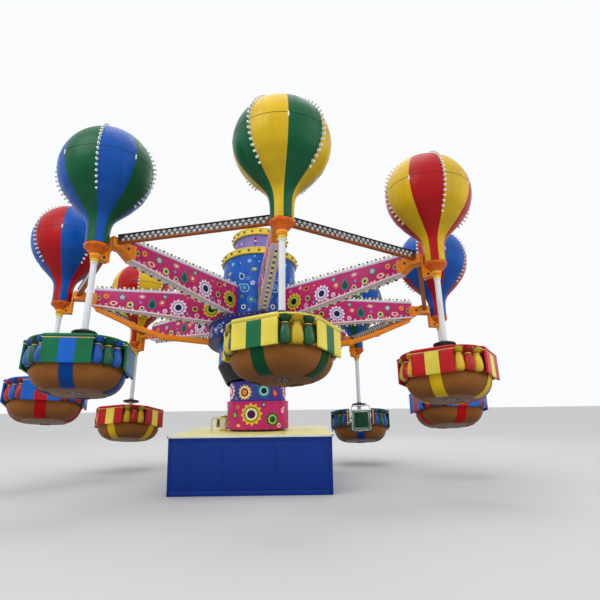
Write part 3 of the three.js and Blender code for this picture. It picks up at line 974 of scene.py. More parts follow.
def build_head():
    """In the head's own frame, height zero at the hinge."""
    head = Assembly()
    low, flange, top = -0.2, 0.165, 0.195
    head.add(turned([
        (0, flange), (0.879, flange), (0.695, low), (0.708, low), (0.713, low + 0.01),
        (0.896, flange - 0.004), (0.905, flange + 0.006), (0.905, top - 0.005), (0.9, top),
        (0.2, top), (0.2, 0.61), (0, 0.61),
    ], 96), "coat_steel")
    rib = [(0.714, low + 0.03), (0.727, low + 0.03), (0.9, flange - 0.004), (0.885, flange - 0.004)]
    head.add_each(prism(rib, 0.014, 0.002), "coat_steel", [spin("Z", 15 * index) for index in range(24)])
    hub = prism([*arc(0.088, 180, 361, 15), (0.148, 0.17), (-0.148, 0.17)], 0.46, 0.008)
    head.add(hub, "coat_steel", spin("Z", 90))
    head.add(rod(0.06, -0.31, 0.31, 0.006, 32), "worn_steel", spin("Y", 90))
    return head.mesh()


# Crown


def lamp_circle(assembly, radius, height, first, count, lamps):
    """Lamps standing outwards round a drum."""
    for index in range(count):
        mesh, finishes = lamps[index % len(lamps)]
        turn = spin("Z", first - 90 + 360 * index / count)
        assembly.add(mesh, finishes, turn @ shift(radius, 0, height) @ spin("Y", 90))


CROWN_DRUM_ORNAMENT = (
    ("drop", 0.085, "lilac navy white", -4, 0.2, 1.2, 0.05),
    ("drop", 0.07, "sky navy", 3, 0.25, -1.9, 0.05),
    ("flower", 0.05, "white lilac", 7, 0.13),
    ("disc", 0.032, "lilac", 8.5, 0.3),
    ("disc", 0.024, "cyan", -1, 0.1),
)

NECK_TOP_ORNAMENT = (
    ("disc", 0.03, "cyan", 8, 1.93),
    ("eye", 0.07, "lime navy white", 8, 1.6),
    ("drop", 0.09, "sky navy", -12, 1.45, 0.5),
)

NECK_ORNAMENT = (
    ("drop", 0.13, "sky navy cyan", -5, 1.16, 0.9, 0.05),
    ("drop", 0.1, "cyan navy sky", 6, 0.86, -2.1, 0.05),
    ("disc", 0.05, "white cyan", 8, 1.26),
    ("flower", 0.07, "white navy", -6, 0.7),
    ("disc", 0.035, "lime navy", -9, 0.95),
    ("disc", 0.03, "sky", 3, 0.62),
    ("disc", 0.04, "sky navy", 0, 1.38),
)

CROWN_BASE_ORNAMENT = (("disc", 0.032, "cyan navy", 11.25, -0.33), ("disc", 0.03, "sky", 0, -0.12))


def build_crown_base():
    """Heights of the crown pieces are over the wheel plane."""
    base = Assembly()
    low, high, radius = -0.4895, 0.0, 0.9
    wall = radius - 0.006
    base.add(turned([
        (0, -0.07), (0.2014, -0.07), (0.2014, low), *rolled(radius, low, high, 0.01, 0.01)[:6],
        (radius, high - 0.008), (radius - 0.008, high), (0, high),
    ], 96), "coat_crown_blue")
    for index in range(16):
        bearing = 22.5 * (index + 0.5)
        tile = prism([(-0.085, -0.1), (0.085, -0.1), (0.085, 0.1), (-0.085, 0.1)], 0.008, 0.002, "Z")
        lay_on_drum(base, [(tile, "paint_yellow")], wall, bearing, -0.33)
        paint_drum(base, wall + 0.003, bearing, [("diamond", 0.05, "crimson cream", 0, -0.33)])
        paint_drum(base, wall, bearing, CROWN_BASE_ORNAMENT)
    return base.mesh()


def build_crown_drum(lamps):
    """Low wide drum under the arms, ringed with lamps and painted leaves."""
    drum = Assembly()
    radius, low, high = 1.15, 0.0003, 0.48
    wall = radius - 0.006
    outline = [(0, low), *rolled(radius, low, high, band=0.035, step=0.04), (0, high)]
    drum.add(turned(outline, 96), "shell_drum_blue")
    lamp_circle(drum, wall, 0.415, 0, 64, lamps)
    drum.add(turned([
        (0.93, high - 0.002), (1.09, high - 0.002), (1.09, high + 0.004),
        (1.08, high + 0.008), (0.93, high + 0.008),
    ], 96, True), "coat_lilac")
    for index in range(2 * ARMS):
        paint_drum(drum, wall, 9 + 22.5 * (index + 0.5), CROWN_DRUM_ORNAMENT)
    return drum.mesh()


def build_crown_neck(lamps):
    """Blue drum between the arms, with the lower lamp band on its top."""
    neck = Assembly()
    low, band, top = 0.4803, 1.99, 2.15
    wall, ring = 0.87, 0.915
    face = wall - 0.005
    neck.add(turned([
        (0, low), (wall - 0.008, low), (wall, low + 0.008), (wall, low + 0.03),
        (face, low + 0.036), (face, band), *rolled(ring, band, top), (0, top),
    ], 96), lambda centre: "coat_band_yellow" if centre.z > band - 0.001 else "shell_crown_blue")
    lamp_circle(neck, ring - 0.006, (band + top) / 2, -11.9, 24, lamps)
    spots = (("disc", 0.05, "cyan sky", 0, 1.815), ("disc", 0.035, "navy sky", 0, 1.79))
    for index in range(24):
        paint_drum(neck, face, 15 * index - 11.4, [spots[index % 2]])
        if index % 3 == 0:
            paint_drum(neck, face, 15 * index - 11.4, NECK_TOP_ORNAMENT)
    for index in range(ARMS):
        paint_drum(neck, face, 31.5 + 45 * index, NECK_ORNAMENT)
    return neck.mesh()


def build_crown_cap(lamps):
    """Narrow violet drum under the upper lamp band."""
    cap = Assembly()
    low, ring, high, top = 2.1503, 2.6, 2.775, 2.835
    wall, rim = 0.62, 0.68

    def paint(centre):
        banded = centre.z > ring - 0.001 and math.hypot(centre.x, centre.y) > 0.6
        return "coat_band_yellow" if banded or centre.z < low + 0.021 else "shell_purple"

    cap.add(turned([
        (0, low), (wall + 0.03, low), (wall + 0.03, low + 0.02), (wall, low + 0.028),
        (wall, ring - 0.02), (wall + 0.02, ring), *rolled(rim, ring, high),
        (rim - 0.06, high + 0.004), (0.08, top - 0.004), (0, top),
    ], 96), paint)
    lamp_circle(cap, rim - 0.006, (ring + high) / 2, -12.3, 21, lamps)
    diamonds = [("diamond", 0.055, "magenta plum", 0, height) for height in (2.27, 2.385, 2.5)]
    for index in range(5):
        paint_drum(cap, wall, 72 * index - 5.5, diamonds)
    for index in range(10):
        paint_drum(cap, wall, 30.5 + 36 * index, [("disc", 0.022, "white", 0, 2.43)])
    return cap.mesh()


# Arms

PANEL_END = 3.80
TIP_INNER, TIP_OUTER = 4.0, 4.24
TIP_BOTTOM, TIP_TOP = 0.96, 1.165
BRACKET_TOP = 1.13
HALF_ARM = 0.105
PANEL_WALL = 0.099
ARM_ROOT = 0.862
ARM_TOP = 1.24
BRACE_LINE = ((1.147, 0.015), (2.2, 0.105), (2.9, 0.355), (3.745, 0.735))
BRACE_DEEP = 0.11
BRACE_WIDE = 0.11
RING_LOW, RING_HIGH = 1.04, 1.21


def arm_bottom(radius):
    return 0.515 + 0.11 * (radius - 1.0)


ARM_ORNAMENT = (
    # kind, radius along the arm, height over the wheel plane, size, colours from the widest up
    ("gear", 1.12, 0.835, 0.205, "yellow olive lime black"),
    ("gear", 1.88, 0.85, 0.2, "white lilac white navy"),
    ("drop", 2.48, 0.9, 0.12, "teal dark_green"),
    ("gear", 2.97, 0.875, 0.085, "lime cream dark_green"),
    ("eye", 3.34, 0.9, 0.1, "orange white magenta"),
    ("flower", 1.45, 0.67, 0.075, "pink white crimson"),
    ("gear", 1.5, 0.83, 0.07, "lime plum"),
    ("eye", 1.47, 1.07, 0.085, "orange plum"),
    ("disc", 1.02, 1.1, 0.045, "pink crimson"),
    ("flower", 1.3, 1.12, 0.045, "cream crimson"),
    ("disc", 1.68, 1.09, 0.034, "crimson yellow"),
    ("disc", 1.66, 0.7, 0.03, "cyan"),
    ("flower", 2.18, 0.75, 0.065, "white pink"),
    ("disc", 2.2, 1.1, 0.05, "teal mint"),
    ("gear", 2.26, 0.95, 0.075, "orange crimson white"),
    ("eye", 2.72, 1.08, 0.08, "lilac orange cream"),
    ("gear", 2.7, 0.8, 0.06, "cream dark_green"),
    ("disc", 2.74, 0.94, 0.028, "cyan"),
    ("disc", 3.16, 1.05, 0.075, "teal white"),
    ("drop", 3.16, 1.05, 0.045, "sky cyan"),
    ("disc", 3.12, 0.8, 0.03, "orange cream"),
    ("flower", 3.52, 1.06, 0.075, "orange yellow magenta"),
    ("disc", 3.5, 0.86, 0.032, "cream crimson"),
    ("drop", 3.68, 1.0, 0.055, "lime plum"),
)


def arm_strip(start, end, low, high):
    """Four corners of a strip of the arm's side; low and high are rules from a radius to a height."""
    return [(start, low(start)), (end, low(end)), (end, high(end)), (start, high(start))]


def build_arm(braced):
    """In the arm's frame: X outwards, height over the wheel plane."""
    arm = Assembly()
    end, strip, edge = PANEL_END - 0.01, 0.052, 0.034
    panel = [
        (ARM_ROOT, arm_bottom(ARM_ROOT) + 0.004), (end, arm_bottom(PANEL_END) + 0.004),
        (end, ARM_TOP - 0.004), (ARM_ROOT, ARM_TOP - 0.004),
    ]
    arm.add(prism(panel, 2 * PANEL_WALL, 0.004), "coat_magenta")
    top_strip = arm_strip(ARM_ROOT, PANEL_END, lambda radius: ARM_TOP - strip, lambda radius: ARM_TOP)
    arm.add(prism(top_strip, 2 * HALF_ARM), "coat_lilac")
    low_strip = arm_strip(ARM_ROOT, PANEL_END, arm_bottom, lambda radius: arm_bottom(radius) + edge)
    arm.add(prism(low_strip, 2 * HALF_ARM, 0.005), "edge_white")
    for side in (-1, 1):
        for kind, along, height, size, tones in ARM_ORNAMENT:
            lay_on_panel(arm, badge(kind, size, tones), along, height, side, PANEL_WALL)
        for index in range(19):
            along = 1.02 + 0.145 * index
            tooth = badge("triangle", 0.036, ("pink", "white")[index % 2])
            lay_on_panel(arm, tooth, along, arm_bottom(along) + 0.054, side, PANEL_WALL)
    add_arm_end(arm)
    if braced:
        add_brace(arm)
    return arm.mesh()


def add_arm_end(arm):
    """Orange socket at the arm's end, with its cheek plates, bolts and holes shown as dark discs of painted
    shade.
    """
    start, wide = PANEL_END - 0.012, 2 * HALF_ARM
    tip = [
        (start, arm_bottom(PANEL_END)), (TIP_INNER, TIP_BOTTOM), (TIP_OUTER, TIP_BOTTOM),
        (TIP_OUTER, TIP_TOP), (TIP_INNER, TIP_TOP), (TIP_INNER, BRACKET_TOP), (start, BRACKET_TOP),
    ]
    arm.add(prism(tip, wide, 0.01), "coat_orange")
    collar = [(3.72, 0.85), (start + 0.014, 0.86), (start + 0.014, BRACKET_TOP), (3.72, BRACKET_TOP)]
    arm.add(prism(collar, wide + 0.012, 0.004), "coat_orange")
    cheek = prism([(3.83, 0.885), (3.985, 0.985), (3.985, 1.105), (3.83, 1.105)], 0.012, 0.003)
    arm.add_each(cheek, "coat_orange", [shift(y=side * (HALF_ARM - 0.001)) for side in (-1, 1)])
    rim = turned([
        (0.03, -0.004), (0.043, -0.004), (0.043, 0.002), (0.039, 0.005), (0.034, 0.005), (0.03, 0.001),
    ], 20, True)
    hole_shade = turned([(0, -0.003), (0.031, -0.003), (0.031, 0.0015), (0, 0.0015)], 20)
    holes = both_faces(((3.9, 1.02), (4.12, 1.065)), 0.004)
    corners = [(along, height) for height in (0.992, 1.133) for along in (4.04, 4.2)]
    bolts = both_faces([*corners, (3.76, 0.92), (3.76, 1.06)], 0.002)
    arm.add_each(rim, "coat_orange", holes)
    # The holes are dark discs inside orange rims: painted shade, not openings.
    arm.add_each(hole_shade, "seam_dark", holes)
    arm.add_each(hex_bolt(0.022, 0.014, 0.009), "worn_steel", bolts)


def both_faces(spots, proud):
    """Places facing out of both sides of the arm, that much proud of its edging."""
    return [
        shift(along, side * (HALF_ARM + proud), height) @ spin("X", -90 * side)
        for side in (-1, 1) for along, height in spots
    ]


def add_brace(arm):
    """Bent box brace from the wide drum's wall up to the arm's underside."""
    top = [(radius, height + BRACE_DEEP) for radius, height in reversed(BRACE_LINE)]
    arm.add(prism([*BRACE_LINE, *top], BRACE_WIDE, 0.012), "coat_orange")
    flange = [(1.147, 0.004), (1.165, 0.004), (1.165, 0.17), (1.147, 0.17)]
    arm.add(prism(flange, 0.2, 0.004), "coat_orange")
    for radius, height in BRACE_LINE[1:3]:
        offsets = ((-0.07, -0.018), (0.05, 0.004), (0.05, 0.135), (-0.07, 0.112))
        wrap = [(radius + out, height + up) for out, up in offsets]
        arm.add(prism(wrap, BRACE_WIDE + 0.012, 0.003), "coat_orange")
    pad = arm_strip(3.6, 3.79, lambda at: arm_bottom(at) - 0.014, lambda at: arm_bottom(at) + 0.004)
    arm.add(prism(pad, 0.17, 0.003), "coat_orange")
    spots = [(side * 0.078, height) for side in (-1, 1) for height in (0.035, 0.14)]
    places = [shift(1.165, across, height) @ spin("Y", 90) for across, height in spots]
    arm.add_each(hex_bolt(0.02, 0.013, 0.01), "worn_steel", places)


def build_arm_lamps(yellow, navy, last):
    """Cap lamps in two rows on the arm's top and in one row under its lower edge."""
    inner, pitch, across, first_below = 0.94, 0.1, 0.068, 1.22
    lamps = Assembly()
    for index in range(29):
        along = inner + pitch * index
        mesh, finishes = (yellow, navy)[index % 2]
        for side in (-1, 1):
            lamps.add(mesh, finishes, shift(along, side * across, ARM_TOP))
        if first_below < along < last:
            lamps.add(mesh, finishes, shift(along, 0, arm_bottom(along)) @ spin("X", 180))
    return lamps.mesh()


def beam_lamps(size):
    """A flat pale lamp and the small dark stud beside it, both plain in shape."""
    pale = turned([(0, -0.003), (size, -0.003), (size, 0.006), (0.72 * size, 0.016), (0, 0.02)], 10)
    dark = turned([(0, -0.002), (0.5 * size, -0.002), (0.5 * size, 0.004), (0, 0.005)], 6)
    return [(mesh_of(pale), "lamp_grey"), (mesh_of(dark), "seam_dark")]


def build_ring_beam(lamps):
    """Long along Y, its middle at the origin of X, height over the wheel plane."""
    beam = Assembly()
    seat = (TIP_INNER + TIP_OUTER) / 2
    middle = seat * math.cos(ARM_STEP / 2) + HALF_ARM * math.sin(ARM_STEP / 2)

    def end_at(x):
        return (x * math.sin(ARM_STEP / 2) - HALF_ARM - 0.0003) / math.cos(ARM_STEP / 2)

    def bar(half_wide, low, high, dress):
        inner, outer = middle - half_wide, middle + half_wide
        far = [(outer, end_at(outer)), (inner, end_at(inner))]
        outline = [(x, -y) for x, y in reversed(far)] + far
        beam.add(prism(outline, high - low, 0.003, "Z"), dress, shift(z=(high + low) / 2))

    bar(0.05, RING_HIGH - 0.014, RING_HIGH, "coat_steel")
    bar(0.05, RING_LOW, RING_LOW + 0.016, "beam_rust")
    bar(0.03, RING_LOW + 0.014, RING_HIGH - 0.012, "coat_beam_grey")
    pitch = 0.108
    count = int(2 * (end_at(middle) - 0.06) / pitch)
    for row, height in enumerate((RING_LOW + 0.052, RING_LOW + 0.116)):
        for index in range(count):
            along = (index - (count - 1) / 2) * pitch + (0.25 if row else -0.25) * pitch
            for side in (-1, 1):
                for step, (mesh, name) in enumerate(lamps):
                    spot = shift(middle + side * 0.03, along + step * pitch / 2, height)
                    beam.add(mesh, name, spot @ spin("Y", 90 * side))
    return beam.mesh()


# Balloons

SEAM_HEIGHT = 0.03


def balloon_outline(radius):
    """From the pole at the top, over the round part, down the slender neck."""
    seam, groove, level = 0.008, 0.006, SEAM_HEIGHT
    return [
        (0, radius), *arc(radius, 86, 4, -4),
        (radius, level + seam), (radius - groove, level + seam / 2),
        (radius - groove, level - seam / 2), (radius, level - seam),
        *arc(radius, 0, -45, -4),
        (0.592, -0.65), (0.548, -0.699), (0.5, -0.749), (0.45, -0.8), (0.4, -0.851), (0.352, -0.9),
        (0.31, -0.947), (0.275, -0.995), (0.248, -1.047), (0.229, -1.105), (0.217, -1.17), (0.21, -1.24),
        (0.206, -1.31), (0.205, -1.38), (0.205, -1.492), (0.211, -1.499), (0.211, -1.512),
        (0.204, -1.5205), (0, -1.5205),
    ]


def build_balloon(index):
    """Centre of the round part at the origin, X outwards along the arm."""
    radius = sizes().balloon_radius

    def gore(centre):
        if abs(centre.z - SEAM_HEIGHT) < 0.0005 and math.hypot(centre.x, centre.y) < radius:
            return "seam_dark"
        bearing = math.degrees(math.atan2(centre.y, centre.x)) % 360
        return "shell_" + GORES[index][int(bearing // 45) % 2]

    balloon = Assembly()
    balloon.add(turned(balloon_outline(radius), 64), gore)
    tab = block((radius - 0.006, -0.014, -0.05), (radius + 0.006, 0.014, 0.045), 0.004)
    balloon.add_each(tab, "socket_white", [spin("Z", 90 * quarter) for quarter in range(4)])
    socket = [(0, -0.008), (0.06, -0.008), (0.06, 0.004), (0.03, 0.01), (0.022, 0.03), (0, 0.03)]
    balloon.add(turned(socket, 20), "socket_white", shift(z=radius))
    bulb = [(0, 0.026), (0.024, 0.028), (0.03, 0.038), (0.026, 0.05), (0.014, 0.0575), (0, 0.059)]
    balloon.add(turned(bulb, 16), "lamp_white", shift(z=radius))
    return balloon.mesh()


def build_bulbs(bulb):
    """Bulbs down every second gore edge; angles are in degrees from the balloon's top."""
    first, pitch = 15.5, 6.5
    mesh, finishes = bulb
    bulbs = Assembly()
    for quarter in range(4):
        for index in range(20):
            down = spin("Y", first + pitch * index) @ shift(z=sizes().balloon_radius)
            bulbs.add(mesh, finishes, spin("Z", 45 + 90 * quarter) @ down)
    return bulbs.mesh()


# Hangers

HAND_WHEEL_HEIGHT = -0.75


def build_cup():
    """Flared cup under a balloon: its lip rises and falls in eight waves."""
    cup = turned([
        (0.07, 0.7), (0.098, 0.704), (0.108, 0.722), (0.126, 0.752), (0.152, 0.79), (0.183, 0.826),
        (0.207, 0.85), (0.2145, 0.862), (0.2165, 0.874), (0.2145, 0.884), (0.208, 0.8885), (0.2, 0.882),
        (0.19, 0.8885), (0, 0.8885), (0, 0.7),
    ], 64, True)
    for vert in cup.verts:
        radius = math.hypot(vert.co.x, vert.co.y)
        if vert.co.z < 0.88 and radius > 0.1:
            wave = math.cos(8 * math.atan2(vert.co.y, vert.co.x))
            vert.co.z -= 0.014 * (1 + wave) * min(1.0, (radius - 0.1) / 0.1)
    return cup


def build_hanger():
    """Cup, bracket, pole and hand wheel. The pole is at the origin."""
    hanger = Assembly()
    hanger.add(build_cup(), "cup_orange")
    hanger.add(turned([
        (0.05, 0.556), (0.062, 0.556), (0.066, 0.562), (0.07, 0.6), (0.079, 0.645), (0.089, 0.683),
        (0.096, 0.7), (0.098, 0.712), (0.09, 0.716), (0.05, 0.716),
    ], 40, True), "coat_band_yellow")
    stud = turned([
        (0, -0.012), (0.021, -0.012), (0.021, 0.002), (0.016, 0.004), (0.012, -0.002), (0, -0.002),
    ], 16)
    out = shift(0.083, 0, 0.655) @ spin("Y", 102)
    hanger.add_each(stud, "seam_dark", [spin("Z", bearing) @ out for bearing in (0, 120, 240)])
    add_bracket(hanger)
    hanger.add(turned([(0, -1.72), (0.055, -1.72), (0.055, 0.57), (0, 0.57)], 40), "pole_white")
    for height, size in ((0.53, 0.066), (-0.70, 0.068), (-1.662, 0.07)):
        collar = turned([
            (0.05, height), (size - 0.004, height), (size, height + 0.004), (size, height + 0.026),
            (size - 0.004, height + 0.03), (0.05, height + 0.03),
        ], 32, True)
        hanger.add(collar, "worn_steel" if height < 0 else "pole_white")
    add_hand_wheel(hanger)
    low = GONDOLA_BOTTOM
    hanger.add(rod(0.11, low, low + 0.0245, 0.006, 40), "coat_steel")
    bolt_ring(hanger, 0.08, low + 0.001, 6, 0.009, down=True)
    return hanger.mesh()


def add_bracket(hanger):
    """Bolted plate on the arm's end, with the beam that reaches in to the pole."""
    back, front = -0.2597, -0.2247
    hanger.add(block((back, -0.07, 0.63), (front, 0.07, 1.135), 0.008), "coat_orange")
    hanger.add(block((back + 0.004, -0.062, 0.63), (0.02, 0.062, 0.75), 0.01), "coat_orange")
    web = prism([(front - 0.01, 0.745), (-0.06, 0.745), (front - 0.01, 0.92)], 0.012, 0.003)
    hanger.add_each(web, "coat_orange", [shift(y=-0.05), shift(y=0.05)])
    hanger.add(turned([
        (0.05, 0.626), (0.086, 0.626), (0.09, 0.632), (0.09, 0.748), (0.086, 0.754), (0.05, 0.754),
    ], 32, True), "coat_orange")
    spots = [(side * 0.045, height) for height in (0.98, 1.1) for side in (-1, 1)]
    places = [shift(front, across, height) @ spin("Y", 90) for across, height in spots]
    hanger.add_each(hex_bolt(0.02, 0.013, 0.011), "worn_steel", places)
    pin = rod(0.024, -0.082, 0.082, 0.004, 20)
    hanger.add(pin, "black_plastic", shift(-0.14, 0, 0.69) @ spin("X", 90))


def add_hand_wheel(hanger):
    """Black grip wheel that the riders turn the gondola with."""
    level = shift(z=HAND_WHEEL_HEIGHT)
    hanger.add(turned([
        (0.05, -0.014), (0.09, -0.018), (0.185, -0.008), (0.192, -0.016), (0.202, -0.016),
        (0.21, -0.004), (0.21, 0.006), (0.202, 0.018), (0.19, 0.018), (0.182, 0.008), (0.1, 0.004),
        (0.085, 0.034), (0.05, 0.038),
    ], 48, True), "black_plastic", level)
    bead = turned([(0, -0.004), (0.008, -0.003), (0.0105, 0.0), (0.008, 0.003), (0, 0.004)], 8)
    out = level @ shift(0.196, 0, 0.0175)
    hanger.add_each(bead, "black_plastic", [spin("Z", 15 * index) @ out for index in range(24)])


# Gondolas

RIM_HEIGHT = 0.744
DOOR_HALF = 0.30
DOOR_SILL = 0.16
BANNER_HALF = 0.376
POUCH_TURN = 12.8
HINGE_X, HINGE_Y = 0.825, -0.282


def squircle(half, bearing):
    """Distance to a rounded square's edge."""
    power = 2.8
    total = abs(math.cos(bearing)) ** power + abs(math.sin(bearing)) ** power
    return half * total ** (-1 / power)


def band_distance(flat, corner, bearing):
    """Distance to the banner band: flat sides and bulging corners."""
    turn = (math.degrees(bearing) + 405) % 90 - 45
    if abs(turn) < 26:
        return flat / math.cos(math.radians(turn))
    across = (abs(turn) - 45) / 19
    return corner * (1 - 0.03 * across ** 2)


def ease(value, start, end):
    """How far a value has come from start to end, kept between 0 and 1."""
    return min(1.0, max(0.0, (value - start) / (end - start)))


TUB_OUTLINE = (
    (0.062, 0.025), (0.13, 0.025), (0.13, 0.0), (0.44, 0.0), (0.492, 0.011), (0.545, 0.034),
    (0.596, 0.07), (0.638, 0.114), (0.671, 0.165), (0.696, 0.22), (0.714, 0.275), (0.726, 0.33),
    (0.734, 0.39), (0.742, 0.48), (0.748, 0.6), (0.75, 0.74), (0.744, 0.76), (0.728, 0.768),
    (0.71, 0.764), (0.7, 0.75), (0.694, 0.6), (0.69, 0.42), (0.683, 0.406), (0.664, 0.4),
    (0.43, 0.4), (0.414, 0.394), (0.404, 0.378), (0.388, 0.09), (0.378, 0.068), (0.358, 0.06),
    (0.062, 0.06),
)

TUB_IN, TUB_JAMB, TUB_MAT = 1, 2, 3


def build_tub():
    """Moulded tub with bench, footwell and doorway; finishes go by index, the outside's is 0."""
    shape = turned(TUB_OUTLINE, 96, closed=True)
    for vert in shape.verts:
        share = ease(math.hypot(vert.co.x, vert.co.y), 0.405, 0.435) * (0.25 if vert.co.z > 0.3 else 1)
        scale = 1 + share * (squircle(1.0, math.atan2(vert.co.y, vert.co.x)) - 1)
        vert.co.x *= scale
        vert.co.y *= scale
    for face in shape.faces:
        centre = face.calc_center_median()
        radius = math.hypot(centre.x, centre.y)
        inner = face.normal.z > 0.5 or face.normal.dot(Vector((centre.x, centre.y, 0))) < 0
        if centre.z < 0.07 and radius < 0.38 and face.normal.z > 0.5:
            face.material_index = TUB_MAT
        elif inner and centre.z > 0.05 or centre.z > 0.75:
            face.material_index = TUB_IN
    return carved(mesh_of(shape), mesh_of(doorway_cutter()))


def carved(body_mesh, cutter_mesh):
    """The first mesh less the second."""
    scene = bpy.context.scene
    for mesh in (body_mesh, cutter_mesh):
        for _ in range(4):
            mesh.materials.append(None)
    body = bpy.data.objects.new("carved_body", body_mesh)
    cutter = bpy.data.objects.new("carving_tool", cutter_mesh)
    scene.collection.objects.link(body)
    scene.collection.objects.link(cutter)
    modifier = body.modifiers.new("doorway", "BOOLEAN")
    modifier.operation = "DIFFERENCE"
    modifier.solver = "EXACT"
    modifier.object = cutter
    depsgraph = bpy.context.evaluated_depsgraph_get()
    result = bpy.data.meshes.new_from_object(body.evaluated_get(depsgraph))
    for holder, mesh in ((body, body_mesh), (cutter, cutter_mesh)):
        bpy.data.objects.remove(holder)
        bpy.data.meshes.remove(mesh)
    return result


def doorway_cutter():
    """Round-cornered opening through the tub's +X side, open at its top."""
    corner, above = 0.09, 1.0
    opening = [(-DOOR_HALF, above)]
    for side, sweep in ((-1, range(90, -1, -15)), (1, range(0, 91, 15))):
        for degrees in sweep:
            angle = math.radians(degrees)
            across = side * (DOOR_HALF - corner) + side * corner * math.sin(angle)
            opening.append((across, DOOR_SILL + corner - corner * math.cos(angle)))
    cutter = prism([*opening, (DOOR_HALF, above)], 0.8, 0)
    bmesh.ops.rotate(cutter, verts=cutter.verts, cent=(0, 0, 0), matrix=Matrix.Rotation(math.pi / 2, 3, "Z"))
    bmesh.ops.translate(cutter, verts=cutter.verts, vec=(0.64, 0, 0))
    for face in cutter.faces:
        face.material_index = TUB_JAMB
    return cutter


def strap_shape(width, outline):
    """A flat strap following (distance, height) points on the +X side."""
    shape = bmesh.new()
    verts = [shape.verts.new((distance, -width / 2, height)) for distance, height in outline]
    edges = [shape.edges.new(pair) for pair in zip(verts, verts[1:])]
    grown = bmesh.ops.extrude_edge_only(shape, edges=edges)["geom"]
    moved = [item for item in grown if isinstance(item, bmesh.types.BMVert)]
    bmesh.ops.translate(shape, verts=moved, vec=(0, width, 0))
    return plated(shape, 0.012, 0.0035)


def plated(shape, thickness, edge):
    """A sheet on the +X side given its thickness inwards and rounded edges."""
    bmesh.ops.recalc_face_normals(shape, faces=shape.faces)
    if sum(face.normal.x - face.normal.z for face in shape.faces) < 0:
        bmesh.ops.reverse_faces(shape, faces=shape.faces)
    bmesh.ops.solidify(shape, geom=shape.faces[:], thickness=thickness)
    bmesh.ops.recalc_face_normals(shape, faces=shape.faces)
    return soften(shape, edge, 2, 50)


def banner_shape():
    """A stiff banner on the +X side with three equal stripes, curling out at its foot."""
    shape = bmesh.new()
    bmesh.ops.create_grid(shape, x_segments=12, y_segments=8, size=1)
    for vert in shape.verts:
        across, up = vert.co.x * BANNER_HALF, (vert.co.y + 1) / 2
        flare = 0.003 * (1 - up) ** 2.2 + 0.002 * math.sin(up * math.pi)
        vert.co = (0.808 + flare, across, 0.312 + up * 0.402)
    return plated(shape, 0.04, 0.008)


def pleated(outline, folds, depth, low, high):
    """A turned sack whose folds are deepest at the neck and die out downwards."""
    shape = turned(outline, folds * 4)
    for vert in shape.verts:
        wave = math.cos(folds * math.atan2(vert.co.y, vert.co.x))
        scale = 1 + depth * ease(vert.co.z, low, high) * wave
        vert.co.x *= scale
        vert.co.y *= scale
    return shape


def pouch_parts():
    """A gathered pouch, flat at its back: puffed cap, gold neck ring and glossy body."""
    cap = pleated([
        (0, 0.764), (0.07, 0.763), (0.092, 0.757), (0.101, 0.744), (0.104, 0.724), (0.101, 0.701),
        (0.092, 0.679), (0.076, 0.661), (0.06, 0.651), (0.052, 0.645), (0, 0.643),
    ], 7, -0.05, 0.76, 0.66)
    ring = turned([
        (0.045, 0.633), (0.06, 0.633), (0.065, 0.638), (0.065, 0.644), (0.06, 0.649), (0.045, 0.649),
    ], 16, True)
    body = pleated([
        (0, 0.639), (0.053, 0.637), (0.062, 0.622), (0.077, 0.594), (0.09, 0.556), (0.1, 0.511),
        (0.106, 0.463), (0.107, 0.424), (0.102, 0.391), (0.089, 0.363), (0.065, 0.346), (0.034, 0.338),
        (0, 0.337),
    ], 8, 0.07, 0.47, 0.63)
    for shape in (cap, ring, body):
        for vert in shape.verts:
            if vert.co.x < 0:
                vert.co.x *= 0.3
    return mesh_of(cap), mesh_of(ring), mesh_of(body)


def rim_path(flat, corner, height, gap):
    """Points round the band from one side of the doorway to the other."""
    path = []
    first = math.degrees(math.atan2(gap, flat))
    for step in range(73):
        bearing = math.radians(first + (360 - 2 * first) * step / 72)
        distance = band_distance(flat, corner, bearing)
        path.append((distance * math.cos(bearing), distance * math.sin(bearing), height))
    return path


POUCH_OUT = (0.771, 0.768)

STRAP_LINE = (
    (0.741, 0.335), (0.738, 0.315), (0.725, 0.272), (0.707, 0.217), (0.682, 0.16), (0.648, 0.107),
    (0.604, 0.06), (0.55, 0.022), (0.496, -0.003), (0.458, -0.012), (0.425, -0.012),
)


